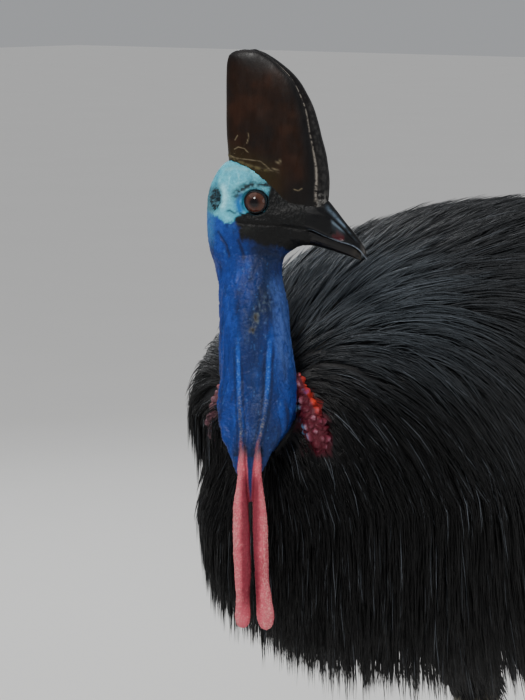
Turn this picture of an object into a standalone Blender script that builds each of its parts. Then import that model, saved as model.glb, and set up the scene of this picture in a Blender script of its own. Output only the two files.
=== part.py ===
"""A southern cassowary at life size, standing with its head turned to its left.

Metres, +Z up. The bird faces -Y, so its left side is at +X. The origin is on the floor
at the middle of the bounding box. Sizes of the head are in the head's own frame:
forward along the bill, left, and up, from the point midway between the eyes.
"""

import math
import random

import bmesh
import bpy
import numpy as np
from mathutils import Vector
from mathutils.bvhtree import BVHTree

# Clearances
GAP = 0.0003
MOUTH_GAP = 0.0004

# Head: where it is and where it looks, as an angle from -Y towards +X
HEAD_AT = (0.016, -0.4224, 1.120)
HEAD_HEADING = math.radians(115)
HEAD_FLOOR = -0.060  # height of the cut between head and neck, in the head's frame
EYE_RADIUS = 0.0145
EYE_LATERAL = 0.0172
EAR_AT = (-0.047, 0.0225, 0.001)
EAR_RADII = (0.0048, 0.0060, 0.0090)
NOSTRIL_AT = (0.0915, 0.0092, -0.0345)
NOSTRIL_RADII = (0.0066, 0.0030, 0.0030)

# Horizontal sections of the head: up, back, front, half width
HEAD_SECTIONS = [
    (-0.0750, -0.0560, 0.0230, 0.0295),
    (-0.0600, -0.0576, 0.0270, 0.0300),
    (-0.0500, -0.0592, 0.0440, 0.0306),
    (-0.0400, -0.0606, 0.0560, 0.0308),
    (-0.0280, -0.0612, 0.0620, 0.0310),
    (-0.0150, -0.0612, 0.0610, 0.0308),
    (0.0000, -0.0603, 0.0530, 0.0305),
    (0.0130, -0.0575, 0.0400, 0.0295),
    (0.0250, -0.0520, 0.0230, 0.0262),
    (0.0350, -0.0450, 0.0050, 0.0205),
    (0.0420, -0.0375, -0.0120, 0.0125),
    (0.0450, -0.0310, -0.0230, 0.0045),
]
HEAD_NARROWS = 0.38  # share by which a section is narrower towards the bill

# Cross sections of the bill: forward, top, bottom, half width
UPPER_BILL = [
    (0.0300, 0.0060, -0.0262, 0.0235),
    (0.0450, 0.0080, -0.0286, 0.0212),
    (0.0600, 0.0065, -0.0318, 0.0172),
    (0.0740, 0.0020, -0.0364, 0.0134),
    (0.0840, -0.0085, -0.0396, 0.0108),
    (0.0945, -0.0215, -0.0436, 0.0083),
    (0.1050, -0.0335, -0.0486, 0.0060),
    (0.1130, -0.0440, -0.0545, 0.0038),
    (0.1180, -0.0530, -0.0615, 0.0020),
    (0.1192, -0.0600, -0.0632, 0.0007),
]
LOWER_BILL = [
    (0.0250, -0.0262, -0.0560, 0.0235),
    (0.0400, -0.0282, -0.0530, 0.0205),
    (0.0560, -0.0310, -0.0510, 0.0165),
    (0.0740, -0.0364, -0.0528, 0.0122),
    (0.0900, -0.0418, -0.0568, 0.0088),
    (0.1020, -0.0472, -0.0603, 0.0058),
    (0.1095, -0.0525, -0.0626, 0.0032),
    (0.1130, -0.0570, -0.0634, 0.0010),
]

# Sections of the casque, base to top: share, back forward, back up, front forward,
# front up, half thickness
CASQUE_SECTIONS = [
    (0.00, -0.0330, 0.0220, 0.0700, -0.0140, 0.0170),
    (0.10, -0.0362, 0.0430, 0.0748, 0.0035, 0.0172),
    (0.26, -0.0377, 0.0650, 0.0758, 0.0220, 0.0166),
    (0.42, -0.0385, 0.0850, 0.0738, 0.0430, 0.0156),
    (0.57, -0.0390, 0.1050, 0.0688, 0.0660, 0.0142),
    (0.72, -0.0392, 0.1250, 0.0598, 0.0970, 0.0126),
    (0.84, -0.0390, 0.1440, 0.0455, 0.1255, 0.0108),
    (0.93, -0.0365, 0.1565, 0.0270, 0.1450, 0.0086),
    (0.98, -0.0290, 0.1622, 0.0060, 0.1590, 0.0056),
    (1.00, -0.0200, 0.1640, -0.0060, 0.1632, 0.0020),
]

# Neck, from inside the body up to the head: share, x, y, z, heading in degrees,
# half width, half depth
NECK_SECTIONS = [
    (0.00, 0.0000, -0.3000, 0.8100, 0.0, 0.0420, 0.0420),
    (0.12, 0.0060, -0.3650, 0.8260, 5.0, 0.0400, 0.0430),
    (0.25, 0.0200, -0.4180, 0.8620, 18.0, 0.0370, 0.0430),
    (0.38, 0.0300, -0.4430, 0.9050, 30.0, 0.0420, 0.0410),
    (0.55, 0.0252, -0.4420, 0.9570, 36.0, 0.0402, 0.0395),
    (0.72, 0.0150, -0.4345, 1.0100, 60.0, 0.0380, 0.0385),
    (0.88, 0.0042, -0.4296, 1.0450, 100.0, 0.0310, 0.0390),
    (1.00, 0.0022, -0.4289, 1.0600, 115.0, 0.0300, 0.0422),
]
NECK_LENGTH = 0.33
NECK_SPLIT = 0.60
# Shares of the neck from one ring to the last, and how many rings
LOWER_NECK = (0.0, NECK_SPLIT - GAP / NECK_LENGTH / 2, 14)
UPPER_NECK = (NECK_SPLIT + GAP / NECK_LENGTH / 2, 1.0, 12)

# Loose fold of throat skin: z, x, y, half width, half depth
THROAT_HEADING = math.radians(32)
THROAT_FOLD = [
    (0.9500, 0.0300, -0.4480, 0.0340, 0.0280),
    (0.9200, 0.0340, -0.4520, 0.0400, 0.0310),
    (0.9000, 0.0385, -0.4580, 0.0425, 0.0300),
    (0.8800, 0.0460, -0.4705, 0.0375, 0.0220),
    (0.8580, 0.0535, -0.4860, 0.0270, 0.0120),
    (0.8380, 0.0575, -0.4935, 0.0190, 0.0062),
    (0.8240, 0.0590, -0.4955, 0.0110, 0.0042),
]

# Wattles: z, offset to the bird's left, half width, half thickness
WATTLE_MIDDLE = (0.0640, -0.4985)
WATTLE_LEFT = [
    (0.8640, 0.0092, 0.0036, 0.0040),
    (0.8480, 0.0094, 0.0045, 0.0045),
    (0.8200, 0.0090, 0.0066, 0.0052),
    (0.7880, 0.0102, 0.0082, 0.0058),
    (0.7550, 0.0116, 0.0086, 0.0058),
    (0.7220, 0.0128, 0.0080, 0.0052),
    (0.6950, 0.0150, 0.0088, 0.0056),
    (0.6750, 0.0168, 0.0098, 0.0058),
    (0.6630, 0.0173, 0.0070, 0.0044),
    (0.6590, 0.0173, 0.0025, 0.0018),
]
WATTLE_RIGHT = [
    (0.8640, -0.0082, 0.0036, 0.0040),
    (0.8480, -0.0083, 0.0045, 0.0045),
    (0.8200, -0.0090, 0.0070, 0.0052),
    (0.7880, -0.0094, 0.0095, 0.0058),
    (0.7550, -0.0086, 0.0104, 0.0058),
    (0.7220, -0.0074, 0.0096, 0.0052),
    (0.6950, -0.0076, 0.0080, 0.0056),
    (0.6750, -0.0078, 0.0088, 0.0058),
    (0.6640, -0.0080, 0.0070, 0.0044),
    (0.6600, -0.0080, 0.0025, 0.0018),
]

# Warty skin patches on the sides of the lower neck: x, y, z, half width
PATCH_LINE = [
    (0.0600, -0.4140, 0.9400, 0.0035),
    (0.0680, -0.4130, 0.9130, 0.0065),
    (0.0780, -0.4110, 0.8840, 0.0095),
    (0.0860, -0.4090, 0.8620, 0.0100),
    (0.0890, -0.4060, 0.8470, 0.0060),
]
PATCH_THICKNESS = 0.0110
NECK_SIDE = 0.0200  # where the lower neck is, to the left of the body's middle
PATCH_OPENING = 0.030  # how far the coat stays open in front of a patch
WART_RADIUS = 0.0044

BODY_WIDEST = 0.46  # height of the widest place, as a share from bottom to top

# Body under the coat, front to back: y, top, bottom, half width
BODY_SECTIONS = [
    (-0.4580, 0.8250, 0.7750, 0.0160),
    (-0.4380, 0.8800, 0.7250, 0.0620),
    (-0.4000, 0.9380, 0.6900, 0.1040),
    (-0.3500, 0.9860, 0.6600, 0.1420),
    (-0.2500, 1.0300, 0.6250, 0.1800),
    (-0.1200, 1.0520, 0.6000, 0.2130),
    (0.0200, 1.0620, 0.5900, 0.2310),
    (0.1500, 1.0580, 0.5850, 0.2290),
    (0.2700, 1.0150, 0.5850, 0.1980),
    (0.3600, 0.9350, 0.5950, 0.1450),
    (0.4300, 0.8400, 0.6200, 0.0880),
    (0.4650, 0.7600, 0.6600, 0.0400),
    (0.4750, 0.7150, 0.6900, 0.0080),
]

# Locks of the coat: rows along the body, spacing round it, and the size of one lock
LOCK_ROWS = 12
LOCK_FIRST_ROW = -0.440
LOCK_LAST_ROW = 0.440
LOCK_SPACING = 0.091
LOCK_HALF_WIDTH = 0.0400
LOCK_HALF_THICKNESS = 0.0046
LOCK_ROOT_DEPTH = 0.009
# How far the tips of the locks stand off the body: y, distance
LOCK_LIFTS = [(-0.44, 0.016), (-0.30, 0.021), (-0.10, 0.029), (0.10, 0.032)]
LOCK_LENGTHS = [
    (-0.44, 0.150),
    (-0.30, 0.175),
    (-0.10, 0.180),
    (0.20, 0.200),
    (0.45, 0.235),
]
# Height that the hanging tips keep above: y, z
FRINGE = [
    (-0.50, 0.670),
    (-0.43, 0.622),
    (-0.38, 0.588),
    (-0.28, 0.540),
    (-0.10, 0.492),
    (0.20, 0.465),
    (0.40, 0.455),
    (0.52, 0.460),
]
# Shape of a lock along its length: share, width, thickness
LOCK_PROFILE = [
    (0.00, 0.66, 0.92),
    (0.30, 1.00, 1.00),
    (0.62, 0.86, 0.80),
    (0.87, 0.42, 0.48),
]
# Short locks round each thigh: place along it, length, half width, lift and how many round it
THIGH_LOCK_PLACE = 0.66
THIGH_LOCK_LENGTH = 0.115
THIGH_LOCK_HALF_WIDTH = 0.0190
THIGH_LOCK_LIFT = 0.0130
THIGH_LOCK_COUNT = 8
# Upward part of the normal below which no lock grows: y, limit
BELLY_LIMIT = [(-0.44, -0.92), (-0.20, -0.90), (-0.10, -0.60)]
NECK_ROOT = (0.018, -0.420, 0.880)
NECK_CLEARANCE = 0.050

# Legs: side, step forward along -Y
LEG_STEPS = {"left": 0.045, "right": -0.045}
HIP = (0.118, 0.020, 0.700)
ANKLE = (0.108, 0.150, 0.400)
FOOT_JOINT = (0.104, 0.085, 0.048)
THIGH_SECTIONS = [
    (0.00, 0.0800, 0.0950),
    (0.25, 0.0780, 0.0930),
    (0.50, 0.0640, 0.0760),
    (0.70, 0.0480, 0.0560),
    (0.86, 0.0330, 0.0380),
    (1.00, 0.0265, 0.0300),
]
# Bare lower leg: share from ankle to foot, half width, half depth
SHANK_SECTIONS = [
    (-0.05, 0.0220, 0.0220),
    (0.00, 0.0310, 0.0340),
    (0.08, 0.0300, 0.0330),
    (0.18, 0.0225, 0.0255),
    (0.45, 0.0190, 0.0215),
    (0.75, 0.0200, 0.0205),
    (0.92, 0.0270, 0.0235),
    (1.02, 0.0285, 0.0225),
    (1.08, 0.0210, 0.0165),
]
SHANK_SCUTES = 11
SCUTE_RISE = 0.0016
# Toes: angle outwards in degrees, length to the claw, base radius, claw length
TOES = {
    "inner": (-30.0, 0.088, 0.0180, 0.105),
    "middle": (-2.0, 0.160, 0.0205, 0.042),
    "outer": (29.0, 0.115, 0.0175, 0.036),
}
TOE_HEIGHT = 0.70  # height of a toe's middle in radii, which leaves a flat sole
TOE_SWELLS = (1.0, 0.86, 1.0, 0.80, 0.94, 0.76, 0.62)

# Wings: shoulder and wrist of the left one, then its bare quills
WING_SHOULDER = (0.200, -0.130, 0.890)
WING_WRIST = (0.262, -0.010, 0.835)
# Stub of the wing: share, half height, half thickness
WING_SECTIONS = [
    (0.00, 0.0240, 0.0130),
    (0.30, 0.0260, 0.0130),
    (0.60, 0.0220, 0.0110),
    (0.85, 0.0170, 0.0090),
    (1.00, 0.0100, 0.0060),
]
QUILL_SIDE = 0.284  # how far out the quills lie
QUILL_LENGTHS = (0.330, 0.310, 0.285, 0.250, 0.210)
QUILL_RADIUS = 0.0026

# Colours
BLACK_COAT = (0.012, 0.012, 0.014)
BLUE_SKIN = (0.025, 0.080, 0.420)
PALE_BLUE_SKIN = (0.180, 0.480, 0.620)
RED_SKIN = (0.560, 0.090, 0.110)
CASQUE_HORN = (0.055, 0.032, 0.022)
BILL_HORN = (0.018, 0.017, 0.018)
EYE_BROWN = (0.150, 0.055, 0.028)
LEG_SCALES = (0.150, 0.135, 0.105)
CLAW_HORN = (0.060, 0.055, 0.050)


def clear_scene():
    for thing in list(bpy.data.objects):
        bpy.data.objects.remove(thing, do_unlink=True)


def material(name, colour, roughness, metallic=0.0):
    made = bpy.data.materials.new(name)
    made.use_nodes = True
    shader = made.node_tree.nodes["Principled BSDF"]
    shader.inputs["Base Color"].default_value = (*colour, 1.0)
    shader.inputs["Roughness"].default_value = roughness
    shader.inputs["Metallic"].default_value = metallic
    return made


def smooth(keys, at):
    """Values at the places `at` on a curve through keys, rows of (place, values...), with no overshoot."""
    table = np.asarray(keys, float)
    places, values = table[:, 0], table[:, 1:]
    step = np.diff(places)[:, None]
    slope = np.diff(values, axis=0) / step
    same_way = slope[:-1] * slope[1:] > 0
    total = np.where(same_way, slope[:-1] + slope[1:], 1.0)
    middle = np.where(same_way, 2 * slope[:-1] * slope[1:] / total, 0.0)
    tangent = np.concatenate([slope[:1], middle, slope[-1:]])
    at = np.clip(np.atleast_1d(np.asarray(at, float)), places[0], places[-1])
    i = np.clip(np.searchsorted(places, at, side="right") - 1, 0, len(places) - 2)
    t = ((at - places[i]) / step[i, 0])[:, None]
    return (
        (2 * t**3 - 3 * t**2 + 1) * values[i]
        + (t**3 - 2 * t**2 + t) * step[i] * tangent[i]
        + (3 * t**2 - 2 * t**3) * values[i + 1]
        + (t**3 - t**2) * step[i] * tangent[i + 1]
    )


def unit(vector):
    vector = np.asarray(vector, float)
    return vector / np.linalg.norm(vector)


def heading_axes(heading):
    """Forward and left, level, of something that looks along this heading."""
    forward = np.array([math.sin(heading), -math.cos(heading), 0.0])
    left = np.array([math.cos(heading), math.sin(heading), 0.0])
    return forward, left


def head_points(local):
    """Points of the head's frame (forward, left, up) in the bird's frame."""
    forward, left = heading_axes(HEAD_HEADING)
    local = np.asarray(local, float)
    up = np.array([0.0, 0.0, 1.0])
    return (
        np.array(HEAD_AT)
        + local[..., 0:1] * forward
        + local[..., 1:2] * left
        + local[..., 2:3] * up
    )


def make_object(name, points, faces, surface):
    mesh = bpy.data.meshes.new(name)
    mesh.from_pydata([tuple(map(float, p)) for p in points], [], [list(f) for f in faces])
    shaped = bmesh.new()
    shaped.from_mesh(mesh)
    bmesh.ops.recalc_face_normals(shaped, faces=shaped.faces)
    if shaped.calc_volume(signed=True) < 0:
        bmesh.ops.reverse_faces(shaped, faces=shaped.faces)
    shaped.to_mesh(mesh)
    shaped.free()
    made = bpy.data.objects.new(name, mesh)
    bpy.context.scene.collection.objects.link(made)
    if surface:
        mesh.materials.append(surface)
    return made


def tube_faces(count, around):
    """Faces of a closed tube of `count` rings with `around` points each, its two ends fanned from their middles."""
    faces = []
    for i in range(count - 1):
        for j in range(around):
            k = (j + 1) % around
            a, b = i * around, (i + 1) * around
            faces += [(a + j, a + k, b + k), (a + j, b + k, b + j)]
    first, last = count * around, count * around + 1
    for j in range(around):
        k = (j + 1) % around
        faces.append((first, k, j))
        end = (count - 1) * around
        faces.append((last, end + j, end + k))
    return faces


def push_ends(rings, grow):
    """Moves the first and the last ring outwards along the form, so that a grown form is longer too."""
    rings = np.array(rings, float)
    if grow:
        rings[0] += unit(rings[0].mean(axis=0) - rings[1].mean(axis=0)) * grow
        rings[-1] += unit(rings[-1].mean(axis=0) - rings[-2].mean(axis=0)) * grow
    return rings


def loft(name, rings, surface, first=None, last=None):
    """A closed solid through rings, an array of (ring, point, 3). The ends run to the points first and last."""
    rings = np.asarray(rings, float)
    count, around = rings.shape[:2]
    first = rings[0].mean(axis=0) if first is None else np.asarray(first, float)
    last = rings[-1].mean(axis=0) if last is None else np.asarray(last, float)
    points = np.concatenate([rings.reshape(-1, 3), [first], [last]])
    return make_object(name, points, tube_faces(count, around), surface)


def apply_modifiers(thing):
    graph = bpy.context.evaluated_depsgraph_get()
    graph.update()
    mesh = bpy.data.meshes.new_from_object(thing.evaluated_get(graph))
    thing.modifiers.clear()
    thing.data = mesh


def keep_largest(thing):
    """Leaves only the largest closed surface of the object's mesh."""
    shaped = bmesh.new()
    shaped.from_mesh(thing.data)
    bmesh.ops.triangulate(shaped, faces=shaped.faces)
    left = set(shaped.faces)
    islands = []
    while left:
        start = left.pop()
        island, reach = [start], [start]
        while reach:
            face = reach.pop()
            for edge in face.edges:
                for other in edge.link_faces:
                    if other in left:
                        left.discard(other)
                        island.append(other)
                        reach.append(other)
        islands.append(island)

    def volume(island):
        total = 0.0
        for face in island:
            a, b, c = (v.co for v in face.verts)
            total += a.dot(b.cross(c)) / 6
        return total

    largest = max(islands, key=volume)
    loose = [face for island in islands if island is not largest for face in island]
    if loose:
        bmesh.ops.delete(shaped, geom=loose, context="FACES")
    shaped.to_mesh(thing.data)
    shaped.free()


def join(thing, others):
    """Fuses the others into thing in one step, and removes them."""
    group = bpy.data.collections.new("pieces")
    bpy.context.scene.collection.children.link(group)
    for other in others:
        bpy.context.scene.collection.objects.unlink(other)
        group.objects.link(other)
    step = thing.modifiers.new("join", "BOOLEAN")
    step.operation = "UNION"
    step.operand_type = "COLLECTION"
    step.collection = group
    step.solver = "MANIFOLD"
    apply_modifiers(thing)
    for other in others:
        bpy.data.objects.remove(other, do_unlink=True)
    bpy.data.collections.remove(group)
    keep_largest(thing)


def cut(thing, others):
    """Cuts the others from thing one after another, and removes them."""
    for other in others:
        step = thing.modifiers.new("cut", "BOOLEAN")
        step.operation = "DIFFERENCE"
        step.object = other
        step.solver = "MANIFOLD"
        apply_modifiers(thing)
        bpy.data.objects.remove(other, do_unlink=True)
    keep_largest(thing)


def ellipsoid(name, centre, axes, radii, surface, around=10, rows=6):
    """A closed ellipsoid with its radii along the three given axes."""
    centre, axes = np.asarray(centre, float), np.asarray(axes, float)
    rings = []
    for i in range(1, rows):
        tilt = math.pi * i / rows
        turn = np.arange(around) * 2 * math.pi / around
        local = np.stack(
            [
                radii[0] * math.sin(tilt) * np.cos(turn),
                radii[1] * math.sin(tilt) * np.sin(turn),
                np.full(around, radii[2] * math.cos(tilt)),
            ],
            axis=1,
        )
        rings.append(centre + local @ axes)
    return loft(name, rings, surface, centre + radii[2] * axes[2], centre - radii[2] * axes[2])


def head_axes():
    forward, left = heading_axes(HEAD_HEADING)
    return np.array([forward, left, [0.0, 0.0, 1.0]])


def head_section(up, grow=0.0, around=16):
    """One level section of the head: an egg, narrow towards the bill."""
    back, front, half_width = smooth(HEAD_SECTIONS, up)[0]
    turn = np.arange(around) * 2 * math.pi / around
    middle, half = (back + front) / 2, (front - back) / 2 + grow
    half_width = half_width + grow
    forward = middle + half * np.cos(turn)
    left = half_width * np.sin(turn) * (1 - HEAD_NARROWS * np.cos(turn)) / (1 + 0.25 * HEAD_NARROWS)
    return np.stack([forward, left, np.full(around, up)], axis=1)


def head_half_width(forward, up):
    """Half width of the head at a place of its side."""
    back, front, half_width = smooth(HEAD_SECTIONS, up)[0]
    cosine = np.clip((forward - (back + front) / 2) / ((front - back) / 2), -1, 1)
    sine = math.sqrt(1 - cosine**2)
    return half_width * sine * (1 - HEAD_NARROWS * cosine) / (1 + 0.25 * HEAD_NARROWS)


def head_form(name, surface, grow=0.0, levels=11):
    low, high = HEAD_FLOOR + GAP / 2 - grow, HEAD_SECTIONS[-1][0]
    share = np.sin(np.linspace(0, 1, levels) * math.pi / 2)
    rings = [head_section(low + (high - low) * s, grow) for s in share]
    rings = head_points(np.array(rings))
    top = head_points([(-0.027, 0.0, HEAD_SECTIONS[-1][0] + 0.0008 + grow)])[0]
    return loft(name, rings, surface, None, top)


def bill_form(name, stations, surface, grow=0.0, around=10, narrow=0.30, count=10):
    """A mandible, ridged above and flat below for a positive narrow, and the other way for a negative one."""
    places = np.linspace(stations[0][0], stations[-1][0], count)
    turn = np.arange(around) * 2 * math.pi / around
    rings = []
    for place, (top, bottom, half_width) in zip(places, smooth(stations, places)):
        middle, half = (top + bottom) / 2, (top - bottom) / 2 + grow
        left = (half_width + grow) * np.sin(turn) * (1 - narrow * np.cos(turn))
        flat = np.cos(turn) * narrow < 0
        up = middle + half * np.sign(np.cos(turn)) * np.abs(np.cos(turn)) ** np.where(flat, 0.3, 1.0)
        rings.append(np.stack([np.full(around, place), left, up], axis=1))
    return loft(name, head_points(np.array(rings)), surface)


def casque_form(name, surface, grow=0.0, around=12):
    """The casque: slanting sections that stay flat-sided, with a rounded keel at both ends."""
    turn = np.arange(around) * 2 * math.pi / around
    shares = [row[0] for row in CASQUE_SECTIONS]
    rings = []
    for back_f, back_u, front_f, front_u, half in smooth(CASQUE_SECTIONS, shares):
        back, front = np.array([back_f, 0.0, back_u]), np.array([front_f, 0.0, front_u])
        along = np.sign(np.cos(turn)) * np.abs(np.cos(turn)) ** 0.72
        across = np.sign(np.sin(turn)) * np.abs(np.sin(turn)) ** 0.80
        middle, reach = (back + front) / 2, (front - back) / 2
        ring = middle + along[:, None] * reach
        ring[:, 1] = across * (half + grow)
        rings.append(ring)
    return loft(name, head_points(np.array(rings)), surface)


def mouth_groove(name, side, depth=0.0025, height=0.0010):
    """A thin curved strip that cuts the line of the mouth into the side of the head."""
    corner, front = -0.018, 0.066
    rings = []
    for forward in np.linspace(corner, front, 6):
        share = (forward - corner) / (front - corner)
        up = -0.0245 - 0.0040 * share - 0.0050 * share**3
        left = side * head_half_width(forward, up)
        inner, outer = left - side * depth, left + side * 0.006
        rings.append(
            [
                (forward, inner, up),
                (forward, outer, up - height),
                (forward, outer, up + height),
            ]
        )
    return loft(name, head_points(np.array(rings)), None)


def build_head(surfaces):
    head = head_form("head", surfaces["pale_skin"])
    lids, cutters = [], []
    forward, left = heading_axes(HEAD_HEADING)
    axes = head_axes()
    for side in (1, -1):
        lids.append(lid_ring(f"lid_{side}", side))
        eye = head_points([(0.0, side * EYE_LATERAL, 0.0)])[0]
        radius = EYE_RADIUS + GAP
        cutters.append(ellipsoid("socket", eye, axes, (radius,) * 3, None, 10, 6))
        ear = head_points([(EAR_AT[0], side * (EAR_AT[1] + 0.001), EAR_AT[2])])[0]
        cutters.append(ellipsoid("ear", ear, axes, EAR_RADII, None, 8, 5))
        cutters.append(mouth_groove("mouth", side))
    join(head, lids)
    cut(head, cutters)
    return head


def lid_ring(name, side, around=10, sides=4):
    """The rim of both lids, a low ring round the eye that follows the side of the head."""
    centre_radius, rim = 0.0128, 0.0026
    rings = []
    for i in range(around):
        turn = 2 * math.pi * i / around
        out = np.array([math.cos(turn), 0.0, math.sin(turn)])
        middle = out * centre_radius
        middle[1] = side * (head_half_width(middle[0], middle[2]) - 0.0004)
        ring = []
        for j in range(sides):
            lean = 2 * math.pi * j / sides
            point = middle + out * rim * math.cos(lean)
            point[1] += side * rim * math.sin(lean)
            ring.append(point)
        rings.append(ring)
    points = head_points(np.array(rings)).reshape(-1, 3)
    faces = []
    for i in range(around):
        for j in range(sides):
            a, b = i * sides, (i + 1) % around * sides
            k = (j + 1) % sides
            faces += [(a + j, a + k, b + k), (a + j, b + k, b + j)]
    return make_object(name, points, faces, None)


def build_eyes(surfaces):
    for label, side in (("left", 1), ("right", -1)):
        centre = head_points([(0.0, side * EYE_LATERAL, 0.0)])[0]
        radii = (EYE_RADIUS,) * 3
        ellipsoid(f"eye_{label}", centre, head_axes(), radii, surfaces["eye"], 10, 6)


def build_bill(surfaces):
    upper = bill_form("bill_upper", UPPER_BILL, surfaces["bill"])
    nostrils = []
    for side in (1, -1):
        place = head_points([(NOSTRIL_AT[0], side * NOSTRIL_AT[1], NOSTRIL_AT[2])])[0]
        nostrils.append(ellipsoid("nostril", place, head_axes(), NOSTRIL_RADII, None, 7, 4))
    cut(upper, [head_form("head_room", None, GAP), *nostrils])
    lowered = [(f, top - MOUTH_GAP, bottom, half) for f, top, bottom, half in LOWER_BILL]
    lower = bill_form("bill_lower", lowered, surfaces["bill"], narrow=-0.25)
    room = bill_form("upper_room", UPPER_BILL, None, GAP)
    cut(lower, [head_form("head_room", None, GAP), room])


def build_casque(surfaces):
    casque = casque_form("casque", surfaces["casque"])
    bill_room = bill_form("bill_room", UPPER_BILL, None, GAP)
    cut(casque, [head_form("head_room", None, GAP), bill_room])


def neck_section(share, grow=0.0, around=16):
    """A section of the neck, between square to its line and level."""
    x, y, z, heading, half_width, half_depth = smooth(NECK_SECTIONS, share)[0]
    before = smooth(NECK_SECTIONS, max(share - 0.02, 0.0))[0][:3]
    after = smooth(NECK_SECTIONS, min(share + 0.02, 1.0))[0][:3]
    upright = min(1.0, 0.35 + 1.3 * share)
    line = unit(unit(after - before) * (1 - upright) + np.array([0.0, 0.0, upright]))
    forward, _ = heading_axes(math.radians(heading))
    forward = unit(forward - line * (forward @ line))
    left = np.cross(line, forward)
    turn = np.arange(around) * 2 * math.pi / around
    ring = (
        np.array([x, y, z])
        + np.outer(np.cos(turn) * (half_depth + grow), forward)
        + np.outer(np.sin(turn) * (half_width + grow), left)
    )
    return ring


def neck_form(name, shares, surface, grow=0.0):
    rings = [neck_section(s, grow) for s in np.linspace(*shares)]
    return loft(name, push_ends(rings, grow), surface)


def neck_room():
    return neck_form("neck_room", LOWER_NECK, None, GAP)


def lobe(name, stations, surface, grow=0.0, around=8):
    """A hanging fold or wattle, from level sections: z, x, y, half width, half depth."""
    forward, left = heading_axes(THROAT_HEADING)
    turn = np.arange(around) * 2 * math.pi / around
    rings = []
    for z, x, y, half_width, half_depth in stations:
        ring = (
            np.array([x, y, z])
            + np.outer(np.cos(turn) * (half_depth + grow), forward)
            + np.outer(np.sin(turn) * (half_width + grow), left)
        )
        rings.append(ring)
    return loft(name, push_ends(rings, grow), surface)


def wattle_stations(rows):
    _, left = heading_axes(THROAT_HEADING)
    x, y = WATTLE_MIDDLE
    return [(z, x + left[0] * off, y + left[1] * off, w, d) for z, off, w, d in rows]


def build_neck(surfaces):
    upper = neck_form("neck_upper", UPPER_NECK, surfaces["blue_skin"])
    lowest = head_points([(0.0, 0.0, HEAD_FLOOR)])[0][2]
    flatten_above(upper, lowest - GAP / 2)
    lower = neck_form("neck_lower", LOWER_NECK, surfaces["blue_skin"])
    fold = lobe("fold", THROAT_FOLD, None, around=12)
    join(lower, [fold])
    for label, rows in (("left", WATTLE_LEFT), ("right", WATTLE_RIGHT)):
        wattle = lobe(f"wattle_{label}", wattle_stations(rows), surfaces["wattle"])
        room = lobe("fold_room", THROAT_FOLD, None, GAP, around=12)
        cut(wattle, [room])
    for label, side in (("left", 1), ("right", -1)):
        build_patch(label, side, surfaces)


def flatten_above(thing, height):
    """Moves every point above this height down to it."""
    for vertex in thing.data.vertices:
        vertex.co.z = min(vertex.co.z, height)


def patch_path(side):
    return [(NECK_SIDE + side * (x - NECK_SIDE), y, z, half) for x, y, z, half in PATCH_LINE]


def patch_frame(side):
    """Outward, downward and across directions of the warty patch of one side, and the keys of its line."""
    outward = unit([side * 0.62, -0.76, 0.10])
    path = patch_path(side)
    keys = [(s, *row) for s, row in zip(np.linspace(0, 1, len(path)), path)]
    downward = unit(np.array(path[-1][:3]) - np.array(path[0][:3]))
    across = unit(np.cross(outward, downward))
    return outward, downward, across, keys


def patch_form(name, side, surface, grow=0.0, opening=0.0):
    """A tongue of skin that lies on the side of the lower neck and the front of the body."""
    outward, downward, across, keys = patch_frame(side)
    turn = np.arange(10) * 2 * math.pi / 10
    rings = []
    for x, y, z, half in smooth(keys, np.linspace(0, 1, 9)):
        ring = (
            np.array([x, y, z])
            + np.outer(np.cos(turn) * (half + grow), across)
            + np.outer(np.sin(turn) * (min(PATCH_THICKNESS, half) + grow), outward)
            + np.outer(np.clip(np.sin(turn), 0, 1) * opening, outward)
        )
        rings.append(ring)
    return loft(name, push_ends(rings, grow), surface)


def patch_room(side):
    return patch_form("patch_room", side, None, WART_RADIUS + GAP, PATCH_OPENING)


def build_patch(label, side, surfaces):
    """A skin patch with its warts."""
    outward, downward, across, keys = patch_frame(side)
    patch = patch_form(f"neck_patch_{label}", side, surfaces["red_skin"])
    chance = random.Random(7 + side)
    warts = []
    for place in np.linspace(0.14, 0.94, 6):
        x, y, z, half = smooth(keys, place)[0]
        depth = min(PATCH_THICKNESS, half)
        columns = max(1, int(half / WART_RADIUS * 0.75))
        for column in range(columns):
            lean = (column + 0.5) / columns * 2 - 1
            centre = (
                np.array([x, y, z])
                + across * half * 0.80 * lean
                + outward * depth * math.sqrt(1 - 0.60 * lean**2) * 0.92
            )
            radius = WART_RADIUS * chance.uniform(0.85, 1.15)
            axes = np.array([across, downward, outward])
            warts.append(ellipsoid("wart", centre, axes, (radius,) * 3, None, 5, 3))
    join(patch, warts)
    rooms = [
        neck_room(),
        lobe("fold_room", THROAT_FOLD, None, GAP, around=14),
    ]
    cut(patch, rooms)


def body_section(y, around=24, boxy=2.3):
    """One upright section of the body, square to Y."""
    top, bottom, half_width = smooth(BODY_SECTIONS, y)[0]
    widest = bottom + BODY_WIDEST * (top - bottom)
    turn = np.arange(around) * 2 * math.pi / around
    cosine, sine = np.cos(turn), np.sin(turn)
    x = half_width * np.sign(sine) * np.abs(sine) ** (2 / boxy)
    reach = np.where(cosine > 0, top - widest, widest - bottom)
    z = widest + reach * np.sign(cosine) * np.abs(cosine) ** (2 / boxy)
    return np.stack([x, np.full(around, y), z], axis=1)


def body_places(count):
    """Places along Y, closer together at the two ends."""
    low, high = BODY_SECTIONS[0][0], BODY_SECTIONS[-1][0]
    share = (1 - np.cos(np.linspace(0, math.pi, count))) / 2
    return low + (high - low) * (0.35 * np.linspace(0, 1, count) + 0.65 * share)


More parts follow.
